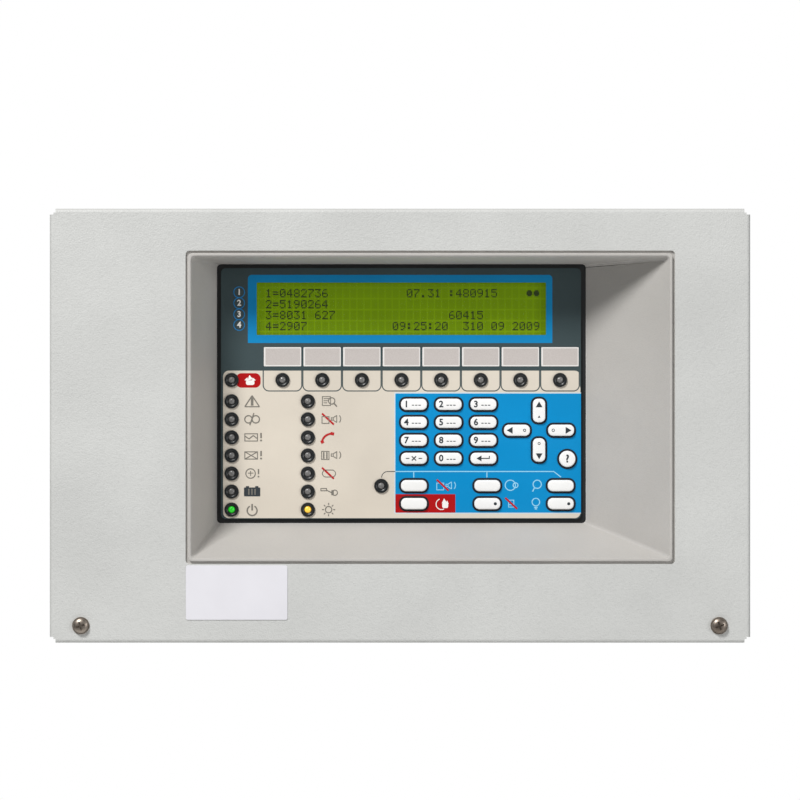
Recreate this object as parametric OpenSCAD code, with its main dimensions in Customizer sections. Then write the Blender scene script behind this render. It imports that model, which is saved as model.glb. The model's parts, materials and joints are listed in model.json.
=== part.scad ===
// Wall-mounted fire alarm control panel with a top-hung front cover.
// The origin is the centre of the wall face. +Y points into the wall, +Z up, +X right from the front.

/* [Enclosure] */
// Width of the front cover
panel_w = 355; // [348:1:460]
// Height of the front cover
panel_h = 220; // [216:1:300]
// Depth from the wall to the front of the cover
panel_d = 125; // [122:1:180]
// Sheet thickness of the cover and the box
sheet_t = 1.2; // [0.8:0.1:1.6]
// Outside bend radius of the folded edges
bend_r = 2; // [1.8:0.1:3]
// Depth of the flange around the cover
flange_d = 16; // [14:0.5:20]
// Length of the open notch at each corner of the cover, from the edge
corner_notch = 3; // [2.5:0.1:5]
// Gap between the box walls and the cover flange at the sides and bottom
side_gap = 1.2; // [1:0.1:3]
// Gap between the box and the cover's top flange, which holds the hinge leaves
top_gap = 3.1; // [3:0.1:5]
// Gap between the front edge of the box and the cover face
front_gap = 1; // [0.6:0.1:3]

/* [Hinges] */
// Length of each hinge
hinge_len = 40; // [25:1:60]
// Distance from the side of the cover to the middle of each hinge
hinge_inset = 67.5; // [40:0.5:90]
// Radius of the hinge pin
hinge_pin_r = 1; // [0.8:0.1:1.2]
// Outside radius of the hinge knuckles
knuckle_r = 2.2; // [2:0.1:2.4]
// Thickness of the hinge leaves
leaf_t = 0.8; // [0.6:0.1:1]
// Radial clearance between pin and knuckle
pin_fit = 0.05; // [0.02:0.01:0.1]

/* [Cover screws] */
// Distance from the side of the cover to each cover screw
screw_inset_x = 15.9; // [13:0.1:20]
// Distance from the bottom of the cover to each cover screw
screw_inset_z = 8.8; // [8.5:0.1:14]
// Radius of the cover screw's shank
cover_screw_r = 2; // [1.5:0.1:2.5]

/* [Recess] */
// Width of the cut-out in the cover
cutout_w = 247.9; // [236:0.1:260]
// Height of the cut-out in the cover
cutout_h = 158.7; // [150:0.1:165]
// Middle of the cut-out, across
cutout_x = 15.35; // [10:0.05:18]
// Middle of the cut-out, up
cutout_z = 9.35; // [8:0.05:11]
// Gap between the cut-out and the bezel's rim
groove = 1.4; // [0.8:0.1:2]
// How far the bezel's rim stands proud of the cover
rim_proud = 0.5; // [0:0.1:1.5]
// Width of the bezel's rim
rim_w = 2; // [1.5:0.1:3]
// Depth from the cover's face to the front of the fascia
recess_d = 32.7; // [28:0.1:38]
// Wall thickness of the mouldings
mould_t = 1.8; // [1.4:0.1:2.5]

/* [Name label] */
// Width of the label
plate_w = 51.4; // [40:0.1:54]
// Height of the label
plate_h = 27.5; // [20:0.1:28]
// Thickness of the label
plate_t = 0.4; // [0.2:0.05:0.6]
// Middle of the label, across
plate_x = -82.7; // [-100:0.1:-60]
// Middle of the label, up
plate_z = -84.45; // [-86:0.05:-84]

/* [Fascia] */
// Width of the fascia
fascia_w = 186; // [185:0.5:190]
// Height of the fascia
fascia_h = 129.6; // [129:0.2:131]
// Middle of the fascia, across
fascia_x = 0.5; // [0:0.1:1]
// Middle of the fascia, up
fascia_z = 16.4; // [16:0.1:17]
// Thickness of the fascia
fascia_t = 1.5; // [1.2:0.1:2]
// Gap between the fascia and the bezel's inner opening
fascia_gap = 2; // [1:0.1:3]

/* [Display] */
// Width of the display window
lcd_w = 149.6; // [140:0.1:151]
// Height of the display window
lcd_h = 27.2; // [24:0.1:29]
// Middle of the display window, across
lcd_x = 0.7; // [0:0.1:1.5]
// Middle of the display window, up
lcd_z = 60.2; // [59:0.1:61]

/* [Zones and indicators] */
// Number of zones
zones = 8; // [4:1:8]
// Distance from zone to zone
zone_pitch = 20.48; // [19:0.01:20.6]
// Middle of the first zone
zone_x = -60.7; // [-62:0.1:-60]
// Width of a zone label
label_w = 19.48; // [16:0.01:19.6]
// Height of a zone label
label_h = 10.1; // [8:0.1:10.5]
// Middle of the zone labels, up
label_z = 35.4; // [34.8:0.1:36]
// Height of the row of zone indicators
zone_led_z = 23.4; // [22:0.1:24]
// Columns of status indicators, across
status_x = [-87, -47.6];
// Top indicator of each column, up
status_z = 12.4; // [11:0.1:13]
// Distance from indicator to indicator in a column
status_pitch = 9.33; // [8.8:0.01:9.4]
// Number of indicators in a column
status_count = 7; // [3:1:7]
// Place of the single indicator beside the keys
single_led = [-9.7, -31.3];
// Radius of an indicator's black ring
ring_r = 3.7; // [3.2:0.1:4]
// Radius of an indicator lens
lens_r = 2.1; // [1.5:0.1:2.3]

/* [Keys] */
// Width of a key cap
key_w = 13.4; // [10:0.1:13.6]
// Height of a key cap
key_h = 5.8; // [4.5:0.1:6.4]
// Corner radius of a key cap
key_corner = 2.6; // [0.5:0.1:2.8]
// Width of the up and down keys
arrow_w = 6.4; // [5:0.1:6.5]
// Height of the up and down keys
arrow_h = 12.2; // [10:0.1:12.4]
// Radius of the round key
round_key_r = 4.2; // [3:0.1:4.6]
// Middle of the round key
round_key = [86.4, -17.4];
// How far a key stands proud of the fascia
key_proud = 1.9; // [1.2:0.1:3]
// Distance that a key travels
key_travel = 0.8; // [0.4:0.1:0.8]
// Gap around a key in the fascia
key_gap = 0.25; // [0.2:0.05:0.4]
// Left column of the number keys
pad_x = 7.2; // [7:0.1:8]
// Top row of the number keys
pad_z = 10.8; // [10:0.1:11]
// Distance between number keys, across
pad_dx = 17.95; // [17:0.05:18]
// Distance between rows of keys
pad_dz = 9.3; // [8:0.1:9.4]
// Distance between function keys, across
func_dx = 37.9; // [36:0.1:38]
// Top row of the function keys
func_z = -31.2; // [-31.5:0.1:-30.5]
// Middle of the arrow keys
arrow_mid = [71.8, -2.6];
// Distance from the middle to the up and down keys
arrow_dz = 10.2; // [9.6:0.1:10.5]
// Distance from the middle to the left and right keys
arrow_dx = 11.4; // [10.8:0.1:11.8]

/* [Batteries] */
// Length of one battery
battery_l = 151; // [140:1:152]
// Thickness of one battery, front to back
battery_t = 65; // [60:1:66]
// Height of one battery, without its terminals
battery_h = 94; // [85:1:95]

/* [Boards and supply] */
// Width of the main board
board_w = 208; // [200:1:210]
// Height of the main board
board_h = 95; // [90:1:95]
// Thickness of every circuit board
pcb_t = 1.6; // [1:0.1:2]
// Distance of the main board from the back wall
standoff = 8; // [6:0.5:12]
// Width of the power supply
psu_w = 80; // [76:1:84]
// Height of the power supply
psu_h = 72; // [68:1:74]
// Depth of the power supply
psu_d = 40; // [36:1:46]

/* [Entries] */
// Radius of a cable entry
entry_r = 10.2; // [8:0.1:13]
// Number of cable entries
entries = 7; // [2:1:7]
// Distance between cable entries
entry_pitch = 40; // [30:1:42]
// Radius of a wall fixing hole
fixing_r = 3; // [2:0.1:4]
// Wall fixing holes, spacing across
fixing_dx = 326; // [312:1:328]
// Wall fixing holes, spacing up
fixing_dz = 180; // [150:1:182]

/* [Hidden] */
$fn = 48;

// A little overlap for cuts and for pieces that are fused
bite = 0.1;

// Front to back, from the cover's face
face_y = -panel_d;
cover_back_y = face_y + sheet_t;
flange_back_y = face_y + flange_d;
fascia_y = face_y + recess_d;
fascia_back_y = fascia_y + fascia_t;
// Front frame of the chassis, which the fascia and the bezel's rear flange rest on
chassis_y = fascia_back_y;
frame_t = 1.5;
bezel_flange_t = mould_t;
// Retaining flange of a key, the mat, the board and the display module behind the fascia
key_rest_gap = 0.3;
key_flange_y = fascia_back_y + key_rest_gap;
key_flange_t = 0.8;
key_flange_margin = 0.5;
mat_gap = 0.3;
mat_y = key_flange_y + key_flange_t + key_travel + mat_gap;
mat_t = 2;
kb_y = mat_y + mat_t;
stem_r = 2;
stem_clear = 0.5;
stem_gap = 0.4;
lcd_frame_y = fascia_back_y + 1.2;
lcd_frame_d = 9.5;
lcd_lip = 0.8;
glass_t = 2.8;
lcd_board_y = lcd_frame_y + lcd_frame_d;
lcd_board_w = lcd_w + 30;
lcd_board_up = 18.5;
lcd_board_down = 22.5;
chassis_d = 17.7;
chassis_back_y = chassis_y + chassis_d;
// Posts on the pan that hold the two boards, and slots in the pan
post_r = 2.5;
board_post_x = [-84, -20, 26, 86];
lcd_post_x = [-84, 85];
pan_slots = 6;
pan_slot_x = -70;

// Box, inside the cover's flange
box_w = panel_w - 2 * (sheet_t + side_gap);
box_top = panel_h / 2 - sheet_t - top_gap;
box_bottom = -panel_h / 2 + sheet_t + side_gap;
box_h = box_top - box_bottom;
box_mid_z = (box_top + box_bottom) / 2;
box_d = panel_d - sheet_t - front_gap;
inner_w = box_w - 2 * sheet_t;
inner_top = box_top - sheet_t;
inner_bottom = box_bottom + sheet_t;

// Hinge axis, just behind the rear edge of the cover's top flange
knuckle_gap = 0.4;
hinge_y = flange_back_y + knuckle_r + 0.3;
hinge_z = box_top + knuckle_gap + knuckle_r;
hinge_x = panel_w / 2 - hinge_inset;
knuckle_len = (hinge_len - 2 * knuckle_gap) / 3;
box_leaf_d = 14;
cover_leaf_d = 12;

// Cover screws and the tabs that they reach
screw_x = panel_w / 2 - screw_inset_x;
screw_z = -panel_h / 2 + screw_inset_z;
tab_gap = 4;
tab_y = cover_back_y + tab_gap;
tab_w = 20;
tab_h = 13;
tab_hole_r = cover_screw_r + 0.6;
screw_hole_r = cover_screw_r + 0.25;
screw_reach = 10;
collar_r = 4.4;
collar_t = 0.8;
head_r = 3.8;
head_h = 2.2;
lip_w = 7;
lip_end = 8;

// Bezel
rim_x0 = cutout_w - 2 * groove;
rim_z0 = cutout_h - 2 * groove;
opening_w = fascia_w + 2 * fascia_gap;
opening_h = fascia_h + 2 * fascia_gap;
bezel_border = 8;
stud_r = 1.5;
stud_len = 7;
stud_inset = 4.5;
stud_rows = [-0.46, 0, 0.46];
boss_r = 3;
boss_len = 5;
m3_r = 1.4;
m3_fit = 0.05;
m3_head_r = 2.75;
m3_head_h = 2;
frame_left = fascia_x - opening_w / 2 - 12;
frame_right = fascia_x + opening_w / 2 + 20;
frame_top = fascia_z + opening_h / 2 + 6;
frame_bottom = fascia_z - opening_h / 2 - 6;
boss_left_x = frame_left + 4.5;
boss_right_x = frame_right - 4.5;
boss_z = [for (k = [-1, 0, 1]) fascia_z + k * (opening_h / 2 - 12)];
window_margin = 2;

// Fascia holes
led_places = concat(
    [for (i = [0:zones - 1]) [zone_x + i * zone_pitch, zone_led_z]],
    [[status_x[0], zone_led_z]],
    [for (x = status_x, k = [0:status_count - 1]) [x, status_z - k * status_pitch]],
    [single_led]
);
sleeve_r = lens_r + 0.5;
sleeve_fit = 0.1;
lens_fit = 0.1;
ring_h = 1;
label_fit = 0.1;
label_back_t = 0.6;
mat_left = 0;
mat_right = 91;
mat_top = 16;
mat_bottom = -45.8;

// Keys: name, middle across, middle up, width, height (a width of 0 is the round key)
func_x = [for (i = [0:2]) pad_x + i * func_dx];
KEYS = concat(
    [
        for (i = [0:8])
            [str("key_", i + 1), pad_x + (i % 3) * pad_dx, pad_z - floor(i / 3) * pad_dz, key_w, key_h]
    ],
    [
        ["key_escape", pad_x, pad_z - 3 * pad_dz, key_w, key_h],
        ["key_0", pad_x + pad_dx, pad_z - 3 * pad_dz, key_w, key_h],
        ["key_enter", pad_x + 2 * pad_dx, pad_z - 3 * pad_dz, key_w, key_h],
        ["key_up", arrow_mid[0], arrow_mid[1] + arrow_dz, arrow_w, arrow_h],
        ["key_down", arrow_mid[0], arrow_mid[1] - arrow_dz, arrow_w, arrow_h],
        ["key_left", arrow_mid[0] - arrow_dx, arrow_mid[1], key_w, key_h],
        ["key_right", arrow_mid[0] + arrow_dx, arrow_mid[1], key_w, key_h],
        ["key_help", round_key[0], round_key[1], 0, 0],
        ["key_silence", func_x[0], func_z, key_w, key_h],
        ["key_evacuate", func_x[0], func_z - pad_dz, key_w, key_h],
        ["key_reset", func_x[1], func_z, key_w, key_h],
        ["key_disable", func_x[1], func_z - pad_dz, key_w, key_h],
        ["key_search", func_x[2], func_z, key_w, key_h],
        ["key_lamp_test", func_x[2], func_z - pad_dz, key_w, key_h]
    ]
);

// Batteries, side by side on the bottom of the box
battery_gap = 2;
battery_z0 = inner_bottom;
battery_y0 = -bend_r;
battery_top = battery_z0 + battery_h;
tab_terminal = [4.8, 0.8, 6];
terminal_inset = 12;
strap_h = 14;
strap_t = 1;
strap_z = battery_z0 + battery_h / 2;
strap_front_y = battery_y0 - battery_t - 0.4 - strap_t;
strap_leg_x = battery_l + battery_gap / 2 + 1;
strap_foot = 12;

// Main board and power supply above the batteries
upper_z0 = fascia_z - 14.8;
board_left = -56;
board_x = board_left + board_w / 2;
board_z = upper_z0 + board_h / 2;
board_y = -sheet_t - standoff;
board_face_y = board_y - pcb_t;
board_inset = 5;
board_holes = [
    for (sx = [-1, 1], sz = [-1, 1])
        [board_x + sx * (board_w / 2 - board_inset), board_z + sz * (board_h / 2 - board_inset)]
];
psu_x = board_left - 14 - psu_w / 2;
psu_z = upper_z0 + 2 + psu_h / 2;
psu_wall = 1;
psu_base_t = 1;
psu_board_y = -sheet_t - 8;
psu_parts_d = psu_d - 16;
vents = 9;
vent_w = 3;
vent_l = psu_h - 24;
vent_pitch = 7.5;
block_ways = 5;
way = 5.08;
blocks = 6;
block_l = block_ways * way;
block_pitch = (board_w - 28) / blocks;
block_x0 = board_left + 14 + (block_pitch - block_l) / 2;
block_z = upper_z0 + board_h - 12;
block_d = 12;
block_h = 10;
mains_d = 18;

// Ribbon from the display board, through the pan, to the main board
ribbon_w = 25.4;
ribbon_t = 1;
ribbon_x = 56;
ribbon_z = 20;
socket_w = 32;
socket_h = 8;
socket_d = 7;
socket_slot = 5;
ribbon_bend = 4;
ribbon_front_y = chassis_back_y + 4 + ribbon_bend;
ribbon_pitch = 2 * ribbon_bend;
ribbon_low_z = ribbon_z + 14;
ribbon_top_z = ribbon_z + 50;

// Battery leads, from each terminal to the next, as chosen points
lead_r = 1.3;
lead_sides = 8;
pole_x = battery_gap / 2 + terminal_inset;
pole_front_y = battery_y0 - battery_t + 10;
pole_back_y = battery_y0 - 10;
pole_z = battery_top + tab_terminal[2];
lead_socket = [board_left + 22, board_face_y - block_h, upper_z0 + 9];
lead_z = lead_socket[2];
lead_end_y = lead_socket[1];
lead_gap = 5;
lead_straight = 6;
red_route = [
    [-pole_x, pole_front_y, pole_z], [-pole_x, pole_front_y, pole_z + 4], [-14, -56, pole_z + 9.4],
    [-17, -55, lead_z - 2.6], [-22, -51, lead_z + 0.4], [-28, -45, lead_z + 1.4], [-34, -38, lead_z + 1.4],
    [-38, -32, lead_z + 1.4], [lead_socket[0] - lead_gap, lead_end_y - lead_straight, lead_z],
    [lead_socket[0] - lead_gap, lead_end_y, lead_z]
];
black_route = [
    [pole_x, pole_back_y, pole_z], [pole_x, pole_back_y, pole_z + 4], [10, -13, pole_z + 8.4],
    [4, -19, pole_z + 11.4], [-3, -26, lead_z - 4.6], [-10, -33, lead_z - 3.6], [-17, -38, lead_z - 2.6],
    [-23, -38, lead_z - 1.6], [-28, -33, lead_z - 0.6],
    [lead_socket[0] + lead_gap, lead_end_y - lead_straight, lead_z],
    [lead_socket[0] + lead_gap, lead_end_y, lead_z]
];
link_route = [
    [-pole_x, pole_back_y, pole_z], [-pole_x, pole_back_y, pole_z + 3], [-11, -14, pole_z + 6.4],
    [-7, -19, pole_z + 7.4], [-3, -26, pole_z + 7.4], [1, -34, pole_z + 7.4], [5, -42, pole_z + 7.4],
    [9, -49, pole_z + 7.4], [12, -54, pole_z + 6.4], [pole_x, pole_front_y, pole_z + 3],
    [pole_x, pole_front_y, pole_z]
];

// A flat rectangle with round corners, in XZ, from y up to y + t
module panel(w, h, t, r) {
    translate([0, t, 0]) rotate([90, 0, 0]) linear_extrude(t) round_rect(w, h, r);
}

// The same shape in two dimensions
module round_rect(w, h, r) {
    square([w - 2 * r, h], center = true);
    square([w, h - 2 * r], center = true);
    for (x = [-1, 1], y = [-1, 1]) translate([x * (w / 2 - r), y * (h / 2 - r)]) circle(r);
}

// A box in XZ between two corners, from y up to y + t
module slab(x0, x1, z0, z1, y, t) {
    translate([x0, y, z0]) cube([x1 - x0, t, z1 - z0]);
}

// A cylinder along +Y from y, len long
module rod(x, z, y, r, len) {
    translate([x, y, z]) rotate([-90, 0, 0]) cylinder(r = r, h = len);
}

// Quarter bend and straight flange of one folded edge
module fold_profile(depth) {
    intersection() {
        translate([0, bend_r]) difference() {
            circle(bend_r);
            circle(bend_r - sheet_t);
        }
        square(bend_r);
    }
    translate([bend_r - sheet_t, bend_r]) square([sheet_t, depth - bend_r]);
}

// A folded sheet tray, its face at y = 0 and its flanges along +Y
module folded_tray(w, h, depth, notch) {
    slab(-w / 2 + bend_r, w / 2 - bend_r, -h / 2 + bend_r, h / 2 - bend_r, 0, sheet_t);
    for (a = [0:90:270]) {
        across = a % 180 == 0;
        half = across ? w / 2 : h / 2;
        len = (across ? h : w) - 2 * notch;
        rotate([0, a, 0]) translate([half - bend_r, 0, 0])
            linear_extrude(len, center = true) fold_profile(depth);
    }
}

// Bore through the folded face or the walls
module drill(x, z, y, r, len) {
    rod(x, z, y - bite, r, len + 2 * bite);
}

// ---- Back box ----

// Back, top and bottom walls folded from one sheet
module back_box() color("gainsboro") {
    difference() {
        union() {
            slab(-inner_w / 2, inner_w / 2, box_bottom + bend_r, box_top - bend_r, -sheet_t, sheet_t);
            for (t = [-1, 1]) translate([0, 0, box_mid_z + t * (box_h / 2 - bend_r)])
                mirror([0, 0, t < 0 ? 1 : 0]) mirror([0, 1, 0]) rotate([0, -90, 0])
                    linear_extrude(inner_w, center = true) fold_profile(box_d);
        }
        for (x = [-1, 1], z = [-1, 1])
            drill(x * fixing_dx / 2, z * fixing_dz / 2, -sheet_t, fixing_r, sheet_t);
        for (i = [0:entries - 1]) translate([entry_x(i), -box_d / 4, inner_top - bite])
            cylinder(r = entry_r, h = sheet_t + 2 * bite);
    }
}

// Place of one cable entry across the top
function entry_x(i) = (i - (entries - 1) / 2) * entry_pitch;

// Side plate with its front lip and screw tab, welded to the ends of the wrapper
module box_side_plate() color("gainsboro") {
    difference() {
        union() {
            slab(inner_w / 2, box_w / 2, box_bottom, box_top, -box_d, box_d - bend_r);
            slab(inner_w / 2, box_w / 2, box_bottom + bend_r, box_top - bend_r, -bend_r - bite,
                bend_r + bite);
            for (t = [-1, 1]) translate([inner_w / 2, -bend_r, box_mid_z + t * (box_h / 2 - bend_r)])
                rotate([0, 90, 0]) cylinder(r = bend_r, h = sheet_t);
            slab(inner_w / 2 - lip_w, inner_w / 2 + bite, screw_z + tab_h, inner_top - lip_end, -box_d,
                sheet_t);
            slab(inner_w / 2 - tab_w, inner_w / 2 + bite, inner_bottom, screw_z + tab_h / 2, tab_y, sheet_t);
        }
        drill(screw_x, screw_z, tab_y, tab_hole_r, sheet_t);
    }
}

module box_side_right() {
    box_side_plate();
}

module box_side_left() {
    mirror([1, 0, 0]) box_side_plate();
}

// Two hinges, on the box side
module hinge_box_leaves() color("silver") {
    for (s = [-1, 1]) translate([s * hinge_x, 0, 0]) {
        slab(-hinge_len / 2, hinge_len / 2, box_top, box_top + leaf_t, hinge_y + knuckle_r + knuckle_gap,
            box_leaf_d);
        for (e = [-1, 1]) translate([e * (hinge_len - knuckle_len) / 2, 0, 0]) {
            knuckle(knuckle_len) translate([-knuckle_len / 2, hinge_y, box_top])
                cube([knuckle_len, knuckle_r + knuckle_gap + bite, leaf_t + 1]);
        }
    }
}

// One knuckle with its bore, fused to the web that it is given
module knuckle(len) {
    difference() {
        union() {
            translate([-len / 2, hinge_y, hinge_z]) rotate([0, 90, 0])
                cylinder(r = knuckle_r, h = len);
            children();
        }
        translate([-len / 2 - bite, hinge_y, hinge_z]) rotate([0, 90, 0])
            cylinder(r = hinge_pin_r + pin_fit, h = len + 2 * bite);
    }
}

// Pins with a head at each outer end
module hinge_pins() color("silver") {
    head_gap = 0.1;
    for (s = [-1, 1]) translate([s * hinge_x, hinge_y, hinge_z]) mirror([s < 0 ? 1 : 0, 0, 0])
        rotate([0, 90, 0]) {
            translate([0, 0, -hinge_len / 2]) cylinder(r = hinge_pin_r, h = hinge_len + head_gap);
            translate([0, 0, hinge_len / 2 + head_gap]) cylinder(r = knuckle_r - 0.4, h = 1);
        }
}

// Rubber blanking grommets in all cable entries but the two outer ones
module cable_grommets() color("dimgray") {
    for (i = [1:entries - 2]) translate([entry_x(i), -box_d / 4, 0]) {
        translate([0, 0, box_top]) difference() {
            cylinder(r = entry_r + 2.5, h = 2);
            translate([0, 0, 0.8]) cylinder(r = entry_r - 2, h = 2);
        }
        translate([0, 0, inner_top - 0.2]) cylinder(r = entry_r - 0.2, h = sheet_t + 0.3);
        translate([0, 0, inner_top - 2]) difference() {
            cylinder(r = entry_r + 1.5, h = 2);
            translate([0, 0, -bite]) cylinder(r = entry_r - 2, h = 1.5);
        }
    }
}

// ---- Main board ----

module main_board() color("darkgreen") {
    difference() {
        slab(board_left, board_left + board_w, upper_z0, upper_z0 + board_h, board_face_y, pcb_t);
        for (p = board_holes) drill(p[0], p[1], board_face_y, m3_r + 0.2, pcb_t);
    }
}

module board_standoffs() color("goldenrod") {
    for (p = board_holes) difference() {
        rod(p[0], p[1], board_y, boss_r, standoff);
        drill(p[0], p[1], board_y, m3_r + m3_fit, standoff - 1);
    }
}

module board_screws() color("silver") {
    for (p = board_holes) m3_screw(p[0], p[1], board_face_y, 6);
}

// Pan head screw that points along +Y, its head in front of y
module m3_screw(x, z, y, len) {
    difference() {
        rod(x, z, y - m3_head_h, m3_head_r, m3_head_h);
        cross_recess(x, z, y - m3_head_h, 1.5);
    }
    rod(x, z, y - bite, m3_r, len + bite);
}

// Cross-shaped driver recess, size across half
module cross_recess(x, z, y, size) {
    for (a = [0, 90]) translate([x, y - bite, z]) rotate([0, a, 0])
        translate([-size, 0, -size / 4]) cube([2 * size, size / 2 + 0.4, size / 2]);
}

// Relays, chips, capacitors, fuses and sockets on the main board
module board_parts() {
    color("royalblue") for (i = [0:3]) chip(board_left + 66 + i * 22, upper_z0 + 66, 19, 15, 15.5);
    color("black") {
        chip(board_x + 22, board_z - 2, 24, 24, 2);
        for (i = [0:2]) chip(board_x - 26 + i * 14, board_z - 8, 8, 16, 2.4);
        for (i = [0:3]) chip(board_left + 66 + i * 14, upper_z0 + 14, 10, 6, 2.4);
        chip(lead_socket[0], lead_socket[2], 20, 12, block_h);
    }
    color("dimgray") difference() {
        chip(ribbon_x, ribbon_z, socket_w, socket_h, socket_d);
        slab(ribbon_x - ribbon_w / 2 - 1, ribbon_x + ribbon_w / 2 + 1, ribbon_z - 1.5, ribbon_z + 1.5,
            board_face_y - socket_d - bite, socket_slot + bite);
    }
    color("navy") for (i = [0:2]) rod(board_left + 20 + i * 14, board_z - 2, board_face_y - 18, 5, 18);
    color("silver") for (i = [0:3]) fuse(board_left + board_w - 20, upper_z0 + 20 + i * 13);
}

// A block on the front of the main board
module chip(x, z, w, h, d) {
    slab(x - w / 2, x + w / 2, z - h / 2, z + h / 2, board_face_y - d, d);
}

// Glass fuse in two clips
module fuse(x, z) {
    for (s = [-1, 1]) chip(x + s * 8, z, 4, 6, 4.5);
    translate([x - 10, board_face_y - 6.5, z]) rotate([0, 90, 0]) cylinder(r = 2.5, h = 20);
}

// Pluggable terminal blocks along the top of the main board
module terminal_blocks() color("forestgreen") {
    for (i = [0:blocks - 1]) translate([block_x0 + i * block_pitch, board_face_y, block_z])
        terminal_block(block_ways);
}

module terminal_block(ways) {
    difference() {
        union() {
            translate([0, -block_h, 0]) cube([ways * way, block_h, block_d * 0.7]);
            translate([0, -block_h * 0.7, 0]) cube([ways * way, block_h * 0.7, block_d]);
        }
        for (k = [0:ways - 1]) translate([(k + 0.5) * way, 0, 0]) {
            rod(0, block_d * 0.35, -block_h - bite, 1.6, 3);
            translate([-1.3, -4.6, block_d - 4]) cube([2.6, 2.6, 5]);
        }
    }
}

// ---- Power supply ----

// A plate of the power supply's outline less an edge all round
module psu_plate(edge, y, t) {
    w = psu_w / 2 - edge;
    h = psu_h / 2 - edge;
    slab(psu_x - w, psu_x + w, psu_z - h, psu_z + h, y, t);
}

module power_supply() {
    color("silver") psu_plate(psu_wall + 0.2, -sheet_t - psu_base_t, psu_base_t);
    color("darkgreen") psu_plate(4, psu_board_y, pcb_t);
    color("silver") for (sx = [-1, 1], sz = [-1, 1])
        rod(psu_x + sx * (psu_w / 2 - 8), psu_z + sz * (psu_h / 2 - 8), psu_board_y + pcb_t - bite, 2,
            -sheet_t - psu_base_t - psu_board_y - pcb_t + 2 * bite);
    color("gold")
        slab(psu_x - 18, psu_x + 12, psu_z - 14, psu_z + 14, psu_board_y - psu_parts_d, psu_parts_d);
    color("navy") for (z = [-18, 6]) rod(psu_x + 24, psu_z + z, psu_board_y - psu_parts_d, 8, psu_parts_d);
}

// Ventilated steel cover over the power supply, open at the back
module psu_cover() color("lightgray") {
    difference() {
        psu_plate(0, -sheet_t - psu_d, psu_d);
        psu_plate(psu_wall, -sheet_t - psu_d + psu_wall, psu_d);
        for (i = [0:vents - 1]) {
            x = psu_x + (i - (vents - 1) / 2) * vent_pitch;
            slab(x - vent_w / 2, x + vent_w / 2, psu_z - vent_l / 2, psu_z + vent_l / 2,
                -sheet_t - psu_d - bite, psu_wall + 2 * bite);
        }
    }
}

// Mains terminal block with its fuse holder
module mains_terminal() color("black") {
    difference() {
        slab(psu_x - 32, psu_x + 4, block_z - 2, block_z + block_d, -sheet_t - mains_d, mains_d);
        for (k = [-1, 0, 1]) rod(psu_x - 14 + k * 11, block_z + 5, -sheet_t - mains_d - bite, 2.6, 5);
    }
    translate([psu_x + 10, -sheet_t - mains_d / 2, block_z + 5]) rotate([0, 90, 0]) cylinder(r = 6, h = 26);
    slab(psu_x + 10, psu_x + 36, block_z, block_z + 10, -sheet_t - mains_d / 2, mains_d / 2);
}

// ---- Batteries ----

// One battery with two tab terminals near its inner end, on the +X side
module battery() {
    color("darkslategray") {
        translate([battery_gap / 2, battery_y0 - battery_t, battery_z0]) {
            cube([battery_l, battery_t, battery_h - 8]);
            translate([1, 1, 0]) cube([battery_l - 2, battery_t - 2, battery_h]);
        }
    }
    color("silver") for (y = [pole_front_y, pole_back_y])
        translate([pole_x - tab_terminal[0] / 2, y - tab_terminal[1] / 2, battery_top - bite])
            cube([tab_terminal[0], tab_terminal[1], tab_terminal[2] + bite]);
}

module battery_right() {
    battery();
}

module battery_left() {
    mirror([1, 0, 0]) battery();
}

// Steel strap across the front of both batteries, bent back to the wall
module battery_strap() color("silver") {
    z0 = strap_z - strap_h / 2;
    z1 = strap_z + strap_h / 2;
    screw_at = strap_leg_x + (strap_foot + strap_t) / 2;
    difference() {
        union() {
            slab(-strap_leg_x - strap_t, strap_leg_x + strap_t, z0, z1, strap_front_y, strap_t);
            for (s = [0, 1]) mirror([s, 0, 0]) {
                slab(strap_leg_x, strap_leg_x + strap_t, z0, z1, strap_front_y, -strap_front_y - sheet_t);
                slab(strap_leg_x, strap_leg_x + strap_foot, z0, z1, -sheet_t - strap_t, strap_t);
            }
        }
        for (s = [-1, 1]) drill(s * screw_at, strap_z, -sheet_t - strap_t, m3_r + 0.3, strap_t);
    }
    for (s = [-1, 1]) m3_screw(s * screw_at, strap_z, -sheet_t - strap_t, strap_t);
}

// Earth stud on the back wall with its nut
module earth_stud() color("gold") {
    x = -inner_w / 2 + 10;
    z = upper_z0 + 40;
    stud_l = 12;
    nut_y = -sheet_t - 5;
    washer_y = -sheet_t - 1.8;
    rod(x, z, -sheet_t - stud_l, 2, stud_l);
    translate([x, nut_y, z]) rotate([-90, 0, 0]) cylinder(r = 4, h = washer_y - nut_y, $fn = 6);
    rod(x, z, washer_y, 4.5, 0.8);
}

// ---- Leads ----

// Point on the smooth curve through a route, f from 0 to 1 between its points i and i + 1
function route_point(route, i, f) =
    let (
        n = len(route) - 1,
        a = route[max(i - 1, 0)],
        b = route[i],
        c = route[min(i + 1, n)],
        d = route[min(i + 2, n)]
    )
    0.5 * (2 * b + (c - a) * f + (2 * a - 5 * b + 4 * c - d) * f * f + (3 * b - a - 3 * c + d) * f * f * f);

function unit(v) = v / norm(v);

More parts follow.
